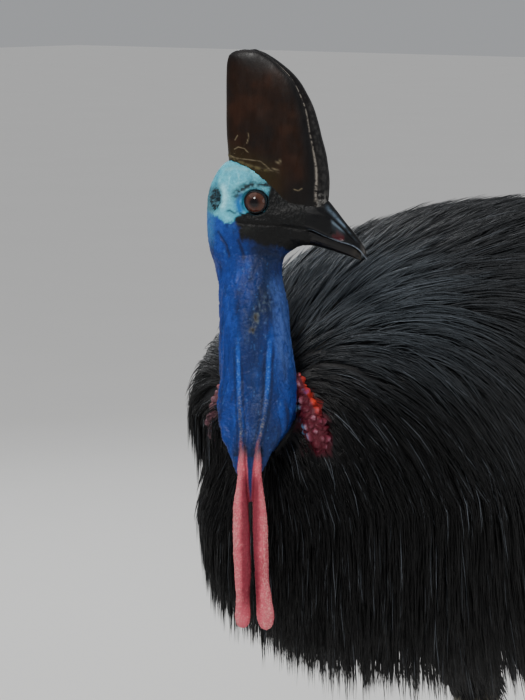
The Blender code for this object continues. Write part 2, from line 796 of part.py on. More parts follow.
def body_form(name, surface, count=16, around=22):
    rings = np.array([body_section(y, around) for y in body_places(count)])
    first = rings[0].mean(axis=0) - np.array([0.0, 0.004, 0.0])
    last = rings[-1].mean(axis=0) + np.array([0.0, 0.004, 0.0])
    return loft(name, rings, surface, first, last)


def flow(point, normal):
    """Direction in which the coat lies at a place of the body."""
    down = np.interp(normal[2], (-1.0, 0.0, 1.0), (3.0, 1.15, 0.14))
    away = point - np.array(NECK_ROOT)
    near = 1.4 * math.exp(-np.linalg.norm(away) / 0.11)
    wanted = np.array([0.0, 1.0, -down]) + near * unit(away)
    return unit(wanted - normal * (wanted @ normal))


def lock_path(tree, root, length, lean, steps=10):
    """Points and outward directions along a lock, which lies on the body and hangs free under it."""
    place, normal, _, _ = tree.find_nearest(Vector(root))
    place, normal = np.array(place), np.array(normal)
    along = flow(place, normal)
    along = unit(along + np.cross(normal, along) * lean)
    points, outward = [place - normal * LOCK_ROOT_DEPTH], [normal]
    lift = np.interp(root[1], *np.transpose(LOCK_LIFTS))
    hanging = False
    point = points[0]
    stride = length / steps
    for step in range(1, steps + 1):
        height = -LOCK_ROOT_DEPTH + (lift + LOCK_ROOT_DEPTH) * step / steps
        if not hanging:
            ahead, facing, _, _ = tree.find_nearest(Vector(point + along * stride))
            ahead, facing = np.array(ahead), np.array(facing)
            wanted = flow(ahead, facing)
            wanted = unit(wanted + np.cross(facing, wanted) * lean)
            hanging = facing[2] < -0.30
        if hanging:
            along = unit(0.60 * along + 0.40 * np.array([0.0, 0.10, -1.0]))
            point = point + along * stride
            normal = unit(normal - along * (normal @ along))
        else:
            point = ahead + facing * height
            along, normal = wanted, unit(0.5 * normal + 0.5 * facing)
        points.append(point)
        outward.append(normal)
    return np.array(points), np.array(outward)


def lock(points, outward, half_width):
    """A flat tapered blade of four sides along a path."""
    shares = np.linspace(0, 1, len(points))
    rings = []
    for share, width, thickness in LOCK_PROFILE:
        centre = np.array([np.interp(share, shares, points[:, k]) for k in range(3)])
        before = np.array([np.interp(share - 0.08, shares, points[:, k]) for k in range(3)])
        after = np.array([np.interp(share + 0.08, shares, points[:, k]) for k in range(3)])
        out = np.array([np.interp(share, shares, outward[:, k]) for k in range(3)])
        along = unit(after - before)
        out = unit(out - along * (out @ along))
        across = np.cross(along, out)
        wide, thick = across * half_width * width, out * LOCK_HALF_THICKNESS * thickness
        rings.append([centre + wide, centre + thick, centre - wide, centre - thick])
    return loft("lock", rings, None, None, points[-1])


def row_roots(y, shift):
    """Places round one section of the body, evenly spaced from a shift, from the back's ridge down both sides."""
    ring = body_section(y, 96)
    half = ring[:49]
    reach = np.concatenate([[0.0], np.cumsum(np.linalg.norm(np.diff(half, axis=0), axis=1))])
    places = []
    at = shift * LOCK_SPACING
    while at < reach[-1]:
        point = np.array([np.interp(at, reach, half[:, k]) for k in range(3)])
        places.append(point)
        if at > 0:
            places.append(point * np.array([-1.0, 1.0, 1.0]))
        at += LOCK_SPACING
    return places


def shorten(points, outward):
    """Ends a path where its fringe ends."""
    floor = np.interp(points[:, 1], *np.transpose(FRINGE))
    low = np.flatnonzero(points[:, 2] < floor)
    keep = max(4, low[0]) if len(low) else len(points)
    return points[:keep], outward[:keep]


def coat_locks(body):
    """Rows of locks all over the body, save the belly and the places of the neck and of the bare skin."""
    tree = BVHTree.FromPolygons(
        [v.co for v in body.data.vertices], [tuple(f.vertices) for f in body.data.polygons]
    )
    chance = random.Random(11)
    locks = []
    for row, y in enumerate(np.linspace(LOCK_FIRST_ROW, LOCK_LAST_ROW, LOCK_ROWS)):
        for root in row_roots(y, 0.5 * (row % 2)):
            root = root + np.array([0.0, chance.uniform(-0.006, 0.006), 0.0])
            _, normal, _, _ = tree.find_nearest(Vector(root))
            away = np.linalg.norm(root - np.array(NECK_ROOT))
            limit = np.interp(y, *np.transpose(BELLY_LIMIT))
            if normal.z < limit or away < NECK_CLEARANCE:
                continue
            length = np.interp(y, *np.transpose(LOCK_LENGTHS)) * chance.uniform(0.90, 1.12)
            path = lock_path(tree, root, length, chance.uniform(-0.10, 0.10))
            points, outward = shorten(*path)
            locks.append(lock(points, outward, LOCK_HALF_WIDTH * chance.uniform(0.92, 1.06)))
    return locks


def build_torso(surfaces):
    torso = body_form("torso", surfaces["coat"])
    join(torso, coat_locks(torso))
    rooms = [
        *leg_rooms(),
        *wing_rooms(),
        neck_room(),
        lobe("fold_room", THROAT_FOLD, None, GAP, around=12),
        *(patch_room(side) for side in (1, -1)),
    ]
    cut(torso, rooms)


def leg_points(label):
    side = 1 if label == "left" else -1
    step = LEG_STEPS[label]
    hip = np.array([side * HIP[0], HIP[1] - 0.4 * step, HIP[2]])
    ankle = np.array([side * ANKLE[0], ANKLE[1] - 0.8 * step, ANKLE[2]])
    joint = np.array([side * FOOT_JOINT[0], FOOT_JOINT[1] - step, FOOT_JOINT[2]])
    return side, hip, ankle, joint


def limb_section(start, end, share, half_width, half_depth, around=14):
    """A section of a straight limb between two points."""
    line = unit(end - start)
    left = np.array([1.0, 0.0, 0.0])
    forward = np.cross(left, line)
    forward /= np.linalg.norm(forward)
    turn = np.arange(around) * 2 * math.pi / around
    return (
        start
        + (end - start) * share
        + np.outer(np.cos(turn) * half_depth, forward)
        + np.outer(np.sin(turn) * half_width, left)
    )


def thigh_form(name, label, surface, grow=0.0):
    _, hip, ankle, _ = leg_points(label)
    shares = np.linspace(0, 1, 9)
    rings = [
        limb_section(hip, ankle, s, w + grow, d + grow)
        for s, (w, d) in zip(shares, smooth(THIGH_SECTIONS, shares))
    ]
    return loft(name, push_ends(rings, grow), surface)


def thigh_locks(label):
    """Short locks that lie down the thigh and over the top of the bare leg."""
    _, hip, ankle, _ = leg_points(label)
    line = unit(ankle - hip)
    reach = np.linalg.norm(ankle - hip)
    locks = []
    for i in range(THIGH_LOCK_COUNT):
        turn = 2 * math.pi * i / THIGH_LOCK_COUNT
        points, outward = [], []
        for step in np.linspace(0, 1, 6):
            at = THIGH_LOCK_PLACE + THIGH_LOCK_LENGTH * step / reach
            half, depth = smooth(THIGH_SECTIONS, at)[0]
            ring = limb_section(hip, ankle, at, half, depth, 1)
            centre = hip + (ankle - hip) * at
            forward = unit(ring[0] - centre)
            left = np.array([1.0, 0.0, 0.0])
            out = unit(forward * math.cos(turn) + left * math.sin(turn))
            radius = math.hypot(depth * math.cos(turn), half * math.sin(turn))
            rise = -0.008 + (THIGH_LOCK_LIFT + 0.008) * step
            points.append(centre + out * (radius + rise))
            outward.append(out)
        locks.append(lock(np.array(points), np.array(outward), THIGH_LOCK_HALF_WIDTH))
    return locks


def shank_form(name, label, surface, grow=0.0, scutes=True):
    """The bare lower leg, with plates that step down its front."""
    _, _, ankle, joint = leg_points(label)
    start, end = SHANK_SECTIONS[0][0], SHANK_SECTIONS[-1][0]
    plates = np.linspace(0.16, 0.90, SHANK_SCUTES + 1)
    places = [(start, 0.0), (-0.01, 0.0), (0.05, 0.0), (0.11, 0.0)]
    if scutes:
        for upper, lower in zip(plates[:-1], plates[1:]):
            places += [(upper, 0.0), (lower - 0.006, SCUTE_RISE)]
    else:
        places += [(place, SCUTE_RISE) for place in plates[::4]]
    places += [(0.93, 0.0), (0.98, 0.0), (1.03, 0.0), (end, 0.0)]
    around = 8
    turn = np.arange(around) * 2 * math.pi / around
    facing = np.clip(np.cos(turn), 0, 1) ** 0.5
    rings = []
    for share, rise in places:
        half_width, half_depth = smooth(SHANK_SECTIONS, share)[0] + grow
        ring = limb_section(ankle, joint, share, half_width, half_depth, around)
        centre = ring.mean(axis=0)
        outward = ring - centre
        outward /= np.linalg.norm(outward, axis=1)[:, None]
        rings.append(ring + outward * (rise * facing)[:, None])
    return loft(name, push_ends(rings, grow), surface)


def toe_rings(label, toe, grow=0.0, around=8):
    side, _, _, joint = leg_points(label)
    angle, length, radius, _ = TOES[toe]
    out = math.radians(angle) * side
    along = np.array([math.sin(out), -math.cos(out), 0.0])
    across = np.array([along[1], -along[0], 0.0])
    turn = np.arange(around) * 2 * math.pi / around
    rings = []
    for i, swell in enumerate(TOE_SWELLS):
        share = i / (len(TOE_SWELLS) - 1)
        size = radius * swell * (1 - 0.22 * share)
        middle = joint + along * (0.004 + length * share)
        middle[2] = size * TOE_HEIGHT
        ring = (
            middle
            + np.outer(np.sin(turn) * (size + grow), across)
            + np.outer(np.cos(turn) * (size + grow), (0.0, 0.0, 1.0))
        )
        ring[:, 2] = np.maximum(ring[:, 2], 0.0 - 4 * grow)
        rings.append(ring)
    return np.array(rings), along, across


def toe_form(name, label, toe, surface, grow=0.0):
    rings, along, _ = toe_rings(label, toe, grow)
    rings = push_ends(rings, grow)
    return loft(name, rings, surface, None, rings[-1].mean(axis=0) + along * 0.004)


def claw_form(name, label, toe, surface):
    """A tapered claw that bends down to the floor."""
    rings, along, across = toe_rings(label, toe)
    _, _, radius, length = TOES[toe]
    start = rings[-1].mean(axis=0) - along * 0.006
    base = radius * 0.42
    made = []
    around = 6
    turn = np.arange(around) * 2 * math.pi / around
    for share in (0.0, 0.20, 0.45, 0.70, 0.90):
        size = base * (1 - 0.80 * share**1.2)
        middle = start + along * (length + 0.006) * share
        middle[2] = start[2] + 0.0035 * math.sin(share * math.pi) - (start[2] - 0.0022) * share**1.6
        ring = (
            middle
            + np.outer(np.sin(turn) * size * 0.85, across)
            + np.outer(np.cos(turn) * size, (0.0, 0.0, 1.0))
        )
        ring[:, 2] = np.maximum(ring[:, 2], 0.0002)
        made.append(ring)
    tip = start + along * (length + 0.006)
    tip[2] = 0.0012
    claw = loft(name, made, surface, None, tip)
    cut(claw, [toe_form("toe_room", label, toe, None, GAP)])


def leg_rooms():
    """What the coat leaves free for both legs."""
    return [thigh_form("thigh_room", label, None, GAP) for label in LEG_STEPS]


def build_legs(surfaces):
    for label in LEG_STEPS:
        thigh = thigh_form(f"thigh_{label}", label, surfaces["coat"])
        join(thigh, thigh_locks(label))
        cut(thigh, [shank_form("shank_room", label, None, GAP, scutes=False)])
        shank_form(f"shank_{label}", label, surfaces["leg"])
        for toe in TOES:
            made = toe_form(f"toe_{toe}_{label}", label, toe, surfaces["leg"])
            rooms = [shank_form("shank_room", label, None, GAP, scutes=False)]
            if toe != "middle":
                rooms.append(toe_form("middle_room", label, "middle", None, GAP))
            cut(made, rooms)
            claw_form(f"claw_{toe}_{label}", label, toe, surfaces["claw"])


def wing_form(name, side, surface, grow=0.0):
    """The stub of the wing, from the shoulder to the wrist, lying along the flank."""
    shoulder = np.array([side * WING_SHOULDER[0], *WING_SHOULDER[1:]])
    wrist = np.array([side * WING_WRIST[0], *WING_WRIST[1:]])
    line = (wrist - shoulder) / np.linalg.norm(wrist - shoulder)
    up = np.array([0.0, 0.0, 1.0]) - line * line[2]
    up /= np.linalg.norm(up)
    out = np.cross(line, up) * side
    turn = np.arange(8) * 2 * math.pi / 8
    rings = []
    for share, tall, thick in WING_SECTIONS:
        middle = shoulder + (wrist - shoulder) * share
        rings.append(
            middle
            + np.outer(np.cos(turn) * (tall + grow), up)
            + np.outer(np.sin(turn) * (thick + grow), out)
        )
    return loft(name, push_ends(rings, grow), surface, None, wrist + line * (0.006 + grow))


def quill(name, side, index):
    """One bare quill of the wing: a tapered spine that curves back and down outside the coat."""
    length = QUILL_LENGTHS[index]
    spread = index / (len(QUILL_LENGTHS) - 1)
    share = 0.98 - 0.45 * spread
    shoulder = np.array([side * WING_SHOULDER[0], *WING_SHOULDER[1:]])
    wrist = np.array([side * WING_WRIST[0], *WING_WRIST[1:]])
    root = shoulder + (wrist - shoulder) * share
    root[2] -= 0.006
    fall = math.radians(22 + 34 * spread)
    turn = np.arange(4) * 2 * math.pi / 4
    rings = []
    for step in np.linspace(0, 1, 5)[:-1]:
        bend = fall + math.radians(30) * step
        travel = length * step
        centre = root + np.array([0.0, math.cos(bend) * travel, -math.sin(bend) * travel])
        centre[0] = side * (abs(root[0]) + (QUILL_SIDE - abs(root[0])) * min(1.0, step * 3.0))
        size = QUILL_RADIUS * (1 - 0.55 * step)
        rings.append(
            centre
            + np.outer(np.cos(turn) * size, (1.0, 0.0, 0.0))
            + np.outer(np.sin(turn) * size, (0.0, math.sin(bend), math.cos(bend)))
        )
    bend = fall + math.radians(30)
    tip = root + np.array([0.0, math.cos(bend) * length, -math.sin(bend) * length])
    tip[0] = side * QUILL_SIDE
    return loft(name, rings, None, None, tip)


def wing_rooms():
    return [wing_form("wing_room", side, None, GAP) for side in (1, -1)]


def build_wings(surfaces):
    for label, side in (("left", 1), ("right", -1)):
        wing = wing_form(f"wing_{label}", side, surfaces["quill"])
        quills = [quill("quill", side, i) for i in range(len(QUILL_LENGTHS))]
        join(wing, quills)


def main():
    clear_scene()
    surfaces = {
        "coat": material("coat", BLACK_COAT, 0.55),
        "blue_skin": material("blue_skin", BLUE_SKIN, 0.60),
        "pale_skin": material("pale_skin", PALE_BLUE_SKIN, 0.55),
        "red_skin": material("red_skin", RED_SKIN, 0.50),
        "wattle": material("wattle", RED_SKIN, 0.50),
        "casque": material("casque", CASQUE_HORN, 0.30),
        "bill": material("bill", BILL_HORN, 0.28),
        "eye": material("eye", EYE_BROWN, 0.05),
        "leg": material("leg", LEG_SCALES, 0.60),
        "claw": material("claw", CLAW_HORN, 0.35),
        "quill": material("quill", BLACK_COAT, 0.35),
    }
    build_head(surfaces)
    build_eyes(surfaces)
    build_bill(surfaces)
    build_casque(surfaces)
    build_neck(surfaces)
    build_torso(surfaces)
    build_wings(surfaces)
    build_legs(surfaces)


main()
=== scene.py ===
"""The looks of a southern cassowary at life size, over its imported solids.

Metres, +Z up. The bird faces -Y, so its left side is at +X. Places on the head are in the head's
own frame: forward along the bill, left, and up, from the point midway between the eyes. Colours
are linear and in thousandths, until tint gives them to a mesh.
"""

import math

import bmesh
import bpy
import numpy as np
from mathutils import Matrix, Vector
from mathutils.bvhtree import BVHTree


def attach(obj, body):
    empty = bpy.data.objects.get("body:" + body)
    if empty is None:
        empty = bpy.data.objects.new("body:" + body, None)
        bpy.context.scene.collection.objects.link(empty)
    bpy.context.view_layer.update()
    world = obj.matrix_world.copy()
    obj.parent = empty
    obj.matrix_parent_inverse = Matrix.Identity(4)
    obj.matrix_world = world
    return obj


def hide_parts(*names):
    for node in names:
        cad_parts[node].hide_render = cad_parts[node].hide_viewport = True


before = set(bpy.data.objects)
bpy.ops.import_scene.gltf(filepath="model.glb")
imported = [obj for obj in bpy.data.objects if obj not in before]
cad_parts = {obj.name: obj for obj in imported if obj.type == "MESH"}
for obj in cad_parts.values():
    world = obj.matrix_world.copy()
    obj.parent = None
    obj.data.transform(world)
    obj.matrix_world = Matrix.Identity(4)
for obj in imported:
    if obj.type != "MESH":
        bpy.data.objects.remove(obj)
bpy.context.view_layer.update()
SIDES = {"left": 1, "right": -1}
UP = np.array([0.0, 0.0, 1.0])


def mm(*rows):
    """A table written in millimetres, and in thousandths where it holds shares."""
    return np.array(rows, float) / 1000


# Photograph
PICTURE_HEIGHT = 700
SENSOR_HEIGHT = 36.0
CAMERA_AZIMUTH = math.radians(40)
CAMERA_DIP = math.radians(9)
CAMERA_FOCAL = 2392.0  # in pixels
CAMERA_AT = (1.70009, -2.42723, 1.36784)
LAMPS_AIM = (0.0, -0.2, 0.8)
# Lamps: place, size, power, colour
LAMPS = {
    "key": ((0.7, -3.1, 3.6), 1.1, 105.0, (1.0, 0.98, 0.95)),
    "fill": ((3.8, 0.6, 1.6), 2.4, 22.0, (0.93, 0.97, 1.0)),
    "top": ((-0.8, 0.4, 4.2), 3.4, 22.0, (1.0, 1.0, 1.0)),
    "back": ((-2.8, 1.8, 2.4), 2.0, 30.0, (0.95, 0.98, 1.0)),
}

# Head
HEAD_AT = (0.016, -0.4224, 1.120)
HEAD_HEADING = math.radians(115)
EYE_RADIUS = 0.0145
EYE_LATERAL = 0.0172
CORNEA = 0.0007
LID_OPENING = 0.0124
LID_RINGS = mm(  # radius, height over the ball or the skin
    (11.3, 0.2), (11.7, 0.9), (12.1, 1.3), (12.5, 1.4), (13, 1.2),
    (13.6, 0.9), (14.3, 0.7), (15.1, 0.5), (16, 0.2), (17.1, -0.8),
)
EAR_AT = (-0.0440, 0.0035)
EAR_RADII = (0.0062, 0.0115)
NOSTRIL_AT = (0.0888, 0.0092, -0.0378)
NOSTRIL_RADII = (0.0080, 0.0034)
NOSTRIL_SLOPE = 0.30
HEAD_NARROWS = 0.38
HEAD_FLOOR = -0.073
# fmt: off
HEAD_SECTIONS = mm(  # level: up, back, front, half width
    (-75, -47, 17, 25.5), (-68, -53, 22.5, 28.2), (-60, -56.8, 28.5, 29.7),
    (-50, -59.2, 44, 30.6), (-40, -60.6, 56, 30.8), (-28, -61.2, 62, 31),
    (-15, -61.2, 61, 30.8), (0, -60.3, 53, 30.5), (13, -57.5, 40, 29.5), (25, -52, 24, 27.2),
    (35, -45.5, 10, 22.8), (42, -38, -10, 14), (45, -31, -23, 4.5),
)
# Thin scratches on the sides of the casque, in millimetres: forward, up
CASQUE_SCRATCHES = [
    [(-32, 48.5), (-24, 46.4), (-9, 45), (3, 43.8), (9, 39.5), (17, 32.2), (21.5, 39), (25, 46.5)],
    [(22, 30), (24.5, 37), (25.5, 45)],
    [(-27, 56), (-22, 58.5), (-15, 57), (-11, 53)],
    [(-26, 66), (-23, 71)],
    [(-12, 63), (-10, 70), (-11, 74)],
    [(41, 14), (46, 12.5), (50, 15)],
]
# Creases on the sides of the head, in millimetres: half width, depth, and path (forward, up)
MOUTH_LINE = [(-21, -22.4), (-8, -23.6), (6, -24.8), (22, -25.3), (40, -27.6)]
LOWER_FOLD = [(-31, -10.5), (-27.5, -9.6), (-23, -12.6), (-18.6, -11.2), (-12.8, -14)]
HEAD_CREASES = [
    (1.5, 1.3, [(-42, -34), (-37, -41), (-31.5, -48), (-28.6, -60)]),
    (1.6, 1.0, [(-18, -42), (-15, -50), (-11.7, -62)]),
    (1.3, 1.1, MOUTH_LINE),
    (0.8, 0.6, LOWER_FOLD),
    (1.2, 0.7, [(18, -39.6), (34, -38.4), (52, -38)]),
    (1.6, 0.5, [(-20, 8.5), (-14, 13.4), (-7, 16.8), (2, 18.2), (12, 17.6)]),
    (1.6, 0.9, [(-33, 14), (-30, 24), (-24, 33)]),
    (1.2, 0.6, [(-9, -14.8), (4, -17.2), (15, -16.4)]),
]
UPPER_BILL = mm(  # forward, top, bottom, half width
    (0, 3, -24, 24.6), (15, 5, -25, 23.8), (30, 6, -26.2, 21.6), (45, 8, -28.6, 18.6),
    (60, 6.5, -31.8, 15.8), (74, 2, -38, 13.1), (84, -8.5, -41.6, 10.8), (94.5, -21.5, -45, 8.3),
    (105, -33.5, -48.6, 6), (113, -44, -54.5, 3.8), (118, -53, -61.5, 2), (119.2, -60, -63.2, 0.7),
)
LOWER_BILL = mm(
    (0, -23.6, -50, 22.2), (25, -25, -50.5, 19.7), (40, -27.2, -49.4, 17), (56, -30, -48.6, 14.4),
    (74, -37, -52, 12), (90, -42.4, -56.4, 8.8), (102, -46.2, -60, 5.8), (109.5, -52, -62.6, 3.2),
    (113, -57, -63.4, 1),
)
UPPER_NARROWS, LOWER_NARROWS = 0.30, -0.25
HORN_START = 0.046
MUZZLE_END = 0.066  # how far forward the skin reaches over the bill
CASQUE_SECTIONS = mm(  # share, back forward, back up, front forward, front up, half thickness
    (0, -33, 20, 66, -21.5, 14), (40, -34.2, 29, 71.5, -13, 16), (100, -36.2, 43, 74.8, 2, 17.2),
    (260, -37.7, 65, 75.8, 22, 16.6), (420, -38.5, 85, 73.8, 43, 15.6),
    (570, -39, 105, 68.8, 66, 14.2), (720, -39.2, 125, 59.8, 97, 12.6),
    (840, -39, 144, 45.5, 125.5, 10.8), (930, -36.5, 156.5, 27, 145, 8.6),
    (980, -29, 162.2, 6, 159, 5.6), (1000, -20, 164, -6, 163.2, 2),
)

# Neck: share, x, y, z, heading in degrees, half width, half depth
NECK_SECTIONS = np.array([
    (0.00, 0.0000, -0.3000, 0.810, 0, 0.0420, 0.0420),
    (0.12, 0.0060, -0.3650, 0.826, 5, 0.0400, 0.0430),
    (0.25, 0.0200, -0.4180, 0.862, 18, 0.0370, 0.0430),
    (0.38, 0.0300, -0.4430, 0.905, 30, 0.0420, 0.0410),
    (0.55, 0.0252, -0.4420, 0.957, 36, 0.0402, 0.0395),
    (0.72, 0.0150, -0.4345, 1.010, 60, 0.0380, 0.0385),
    (0.88, 0.0042, -0.4296, 1.045, 100, 0.0310, 0.0390),
    (1.00, 0.0022, -0.4289, 1.060, 115, 0.0300, 0.0422),
])
NECK_SIDE = 0.0200
NECK_CRUST = (0.0504, -0.4725, 0.9965)  # a dried spot on the skin
# Its dark flecks: to the right in the picture, up, width, height
CRUST_SPOTS = mm((0, 0, 3.2, 5.5), (-4.5, -12.5, 4.6, 4.4))
NECK_ROOT = (0.018, -0.420, 0.880)
THROAT_HEADING = math.radians(32)
# Loose fold of throat skin, upwards: z, x, y, half width, half depth
THROAT_FOLD = mm(
    (800, 60.5, -495.5, 3, 2.8), (820, 59.5, -495, 7.5, 4), (838, 57.5, -493, 17, 6.2),
    (858, 53.5, -486, 27, 12), (880, 46, -470.5, 37.5, 22), (900, 38.5, -458, 42.5, 30),
    (920, 34, -452, 40, 31), (950, 30, -448, 34, 28),
)
WATTLE_MIDDLE = (0.0640, -0.4985)
WATTLES = {  # upwards: z, offset to the bird's left, half width, half thickness
    "left": mm(
        (659, 17.3, 2.5, 1.8), (663, 17.3, 7, 4.4), (675, 16.8, 9.8, 5.8), (695, 15, 8.8, 5.6),
        (722, 12.8, 7.8, 5.2), (755, 11.8, 8.4, 5.6), (788, 10.4, 7.8, 5.6), (816, 9.2, 5.5, 5),
        (832, 8.6, 4.1, 4.4), (848, 8.8, 3.1, 3.8), (864, 9.2, 2.8, 3.4),
    ),
    "right": mm(
        (660, -8, 2.5, 1.8), (664, -8, 7, 4.4), (675, -7.8, 8.8, 5.8), (695, -7.6, 8, 5.6),
        (722, -7.8, 9.4, 5.2), (755, -9.2, 9.9, 5.6), (788, -9.8, 9, 5.6), (816, -9.4, 5.8, 5),
        (832, -8.8, 4.2, 4.4), (848, -8.4, 3.1, 3.8), (864, -8, 2.8, 3.4),
    ),
}
# Ridges of the throat fold that run into the wattles: z, offset to the bird's left
THROAT_RIDGES = {
    "left": mm((858, 9.2), (880, 11.8), (900, 14.2), (925, 16.4), (960, 18.2)),
    "right": mm((858, -8), (880, -10.8), (900, -13.8), (925, -15.2), (958, -15.4)),
}
RIDGE_RADIUS = 0.0025
# Warty skin patches on the sides of the lower neck: x, y, z, half width
PATCH_LINE = mm(
    (61, -414, 930, 3), (69, -413, 908, 6), (78, -411, 884, 11),
    (85, -409, 864, 12), (89, -406, 847, 7),
)
PATCH_THICKNESS = 0.0110
RIGHT_PATCH_SHIFT = (-0.006, -0.0135)
RIGHT_PATCH_SIZE = 0.75

# Body
BODY_SECTIONS = mm(  # under the coat: y, top, bottom, half width
    (-458, 825, 775, 16), (-438, 880, 725, 62), (-400, 938, 690, 104), (-350, 986, 660, 142),
    (-250, 1030, 625, 180), (-120, 1052, 600, 213), (20, 1062, 590, 231), (150, 1058, 585, 229),
    (270, 1015, 585, 198), (360, 935, 595, 145), (430, 840, 620, 88), (465, 760, 660, 40),
    (475, 715, 690, 8),
)
BODY_WIDEST = 0.46
# How far the right side of the chest falls back: z, distance
CHEST_DENT = mm(
    (660, -8), (700, -4), (735, 5), (780, 19), (820, 23), (840, 19), (868, -3), (910, -3), (930, 0)
)
# Height that the hanging tips keep above: y, z
FRINGE = mm(
    (-500, 670), (-430, 618), (-380, 578), (-280, 512), (-100, 452), (200, 430), (400, 430),
    (520, 440),
)
# Feathers by distance from the neck's root: distance, length, lift, strand width
FEATHERS = mm(
    (40, 52, 11, 0.9), (100, 75, 16, 1), (200, 115, 22, 1.3), (400, 160, 29, 1.6),
    (700, 190, 31, 1.8), (1000, 230, 31, 1.9),
)
# Upward part of the normal below which no feather grows: y, limit
BELLY_LIMIT = [(-0.44, -0.97), (-0.20, -0.95), (0.10, -0.85)]
COAT_TUFTS = 8400
THIGH_TUFTS = 460
EAR_TUFTS = 150
PATH_STEPS = 10
PIECE_STRANDS = 8900
RING_PLACES = np.array([0.0, 0.30, 0.60, 0.85, 1.0])  # shares of a strand's length
RING_WIDTHS = np.array([0.55, 1.0, 0.90, 0.50, 0.0])
SCATTER = (0.7548776662, 0.5698402910)  # steps that spread places evenly
HEAD_BASE = 1.04  # no coat paint on the skin above this at the front
COAT_BLACK = (6, 6, 7)

# Legs
LEG_STEP = 0.045  # how far the left foot stands ahead, and the right one back
HIP = (0.118, 0.020, 0.700)
ANKLE = (0.108, 0.150, 0.400)
FOOT_JOINT = (0.104, 0.085, 0.048)
THIGH_SECTIONS = mm(  # share, half width, half depth
    (0, 80, 95), (250, 78, 93), (500, 64, 76), (700, 48, 56), (860, 33, 38), (1000, 26.5, 30)
)
SHANK_SECTIONS = mm(
    (-50, 22, 22), (0, 31, 34), (80, 30, 33), (180, 22.5, 25.5), (450, 19, 21.5),
    (750, 20, 20.5), (920, 27, 23.5), (1020, 28.5, 22.5), (1080, 21, 16.5),
)
BARE_LEG = (0.440, 0.405)  # heights between which the coat's black gives way to scales
SCUTE_RISE = 0.0014
SHANK_SCUTES = 24
SCUTE_PITCH = 0.0078  # along a toe
TOES = {  # angle, length, radius, claw length
    "inner": (-30.0, 0.088, 0.0180, 0.105),
    "middle": (-2.0, 0.160, 0.0205, 0.042),
    "outer": (29.0, 0.115, 0.0175, 0.036),
}
TOE_HEIGHT = 0.70
TOE_SWELLS = (1.0, 0.86, 1.0, 0.80, 0.94, 0.76, 0.62)

# Wings
WING_SHOULDER = (0.200, -0.130, 0.890)
WING_WRIST = (0.262, -0.010, 0.835)
WING_SECTIONS = mm((0, 24, 13), (300, 26, 13), (600, 22, 11), (850, 17, 9), (1000, 10, 6))
QUILL_SIDE = 0.284
QUILL_LENGTHS = (0.330, 0.310, 0.285, 0.250, 0.210)
QUILL_RADIUS = 0.0026
QUILL_BEND = math.radians(30)
# fmt: on

FINE_VOXEL = 0.00128
LEG_VOXEL = 0.0028
BODY_VOXEL = 0.0130


def smooth(keys, at):
    """Values at places on a curve through keys, rows of (place, values...), with no overshoot."""
    table = np.asarray(keys, float)
    places, values = table[:, 0], table[:, 1:]
    step = np.diff(places)[:, None]
    slope = np.diff(values, axis=0) / step
    same_way = slope[:-1] * slope[1:] > 0
    total = np.where(same_way, slope[:-1] + slope[1:], 1.0)
    middle = np.where(same_way, 2 * slope[:-1] * slope[1:] / total, 0.0)
    tangent = np.concatenate([slope[:1], middle, slope[-1:]])
    at = np.clip(np.atleast_1d(np.asarray(at, float)), places[0], places[-1])
    i = np.clip(np.searchsorted(places, at, side="right") - 1, 0, len(places) - 2)
    t = ((at - places[i]) / step[i, 0])[:, None]
    return (
        (2 * t**3 - 3 * t**2 + 1) * values[i]
        + (t**3 - 2 * t**2 + t) * step[i] * tangent[i]
        + (3 * t**2 - 2 * t**3) * values[i + 1]
        + (t**3 - t**2) * step[i] * tangent[i + 1]
    )


def unit(vector):
    vector = np.asarray(vector, float)
    return vector / np.linalg.norm(vector, axis=-1, keepdims=True)


def ramp(value, start, end):
    """0 up to start, 1 past end, smooth between. It falls where end is below start."""
    t = np.clip((value - start) / (end - start), 0, 1)
    return t * t * (3 - 2 * t)


def bell(value, middle, width):
    return np.exp(-(((value - middle) / width) ** 2))


def bent(value, power):
    return np.sign(value) * np.abs(value) ** power


def turns(count):
    return np.arange(count) * 2 * math.pi / count


def oval(centre, ahead, aside, reach, width, turn):
    """Points round a centre: turn 0 is at reach ahead, a quarter turn on is at width aside."""
    across = np.outer(np.cos(turn) * reach, ahead)
    return np.array(centre) + across + np.outer(np.sin(turn) * width, aside)


def disc(radius, left, turn):
    """A ring round an eye's axis, in the head's frame."""
    ring = [radius * np.cos(turn), np.full(len(turn), left), radius * np.sin(turn)]
    return np.stack(ring, axis=1)


def heading_axes(heading):
    """Forward and left, level, of something that looks along this heading."""
    forward = np.array([math.sin(heading), -math.cos(heading), 0.0])
    return forward, np.array([math.cos(heading), math.sin(heading), 0.0])


HEAD_AXES = np.array([*heading_axes(HEAD_HEADING), UP])
THROAT_FORWARD, THROAT_LEFT = heading_axes(THROAT_HEADING)
TO_CAMERA, PICTURE_RIGHT = heading_axes(CAMERA_AZIMUTH)


def head_points(local):
    return np.array(HEAD_AT) + np.asarray(local, float) @ HEAD_AXES


def head_local(points):
    return (points - np.array(HEAD_AT)) @ HEAD_AXES.T


TABLE = np.random.default_rng(5).uniform(-1, 1, 8192)


def lattice(cell, seed):
    mixed = cell[..., 0] * 73856093 ^ cell[..., 1] * 19349663 ^ cell[..., 2] * 83492791
    return TABLE[(mixed + seed * 7919) & 8191]


def noise(points, scale, seed=0):
    """Smooth noise from -1 to 1, with `scale` bumps a metre, one number or one for each axis."""
    at = points * np.asarray(scale, float)
    base = np.floor(at).astype(np.int64)
    t = at - base
    t = t * t * (3 - 2 * t)
    total = 0.0
    for corner in np.ndindex(2, 2, 2):
        share = np.where(corner, t, 1 - t).prod(axis=1)
        total = total + share * lattice(base + np.array(corner), seed)
    return total


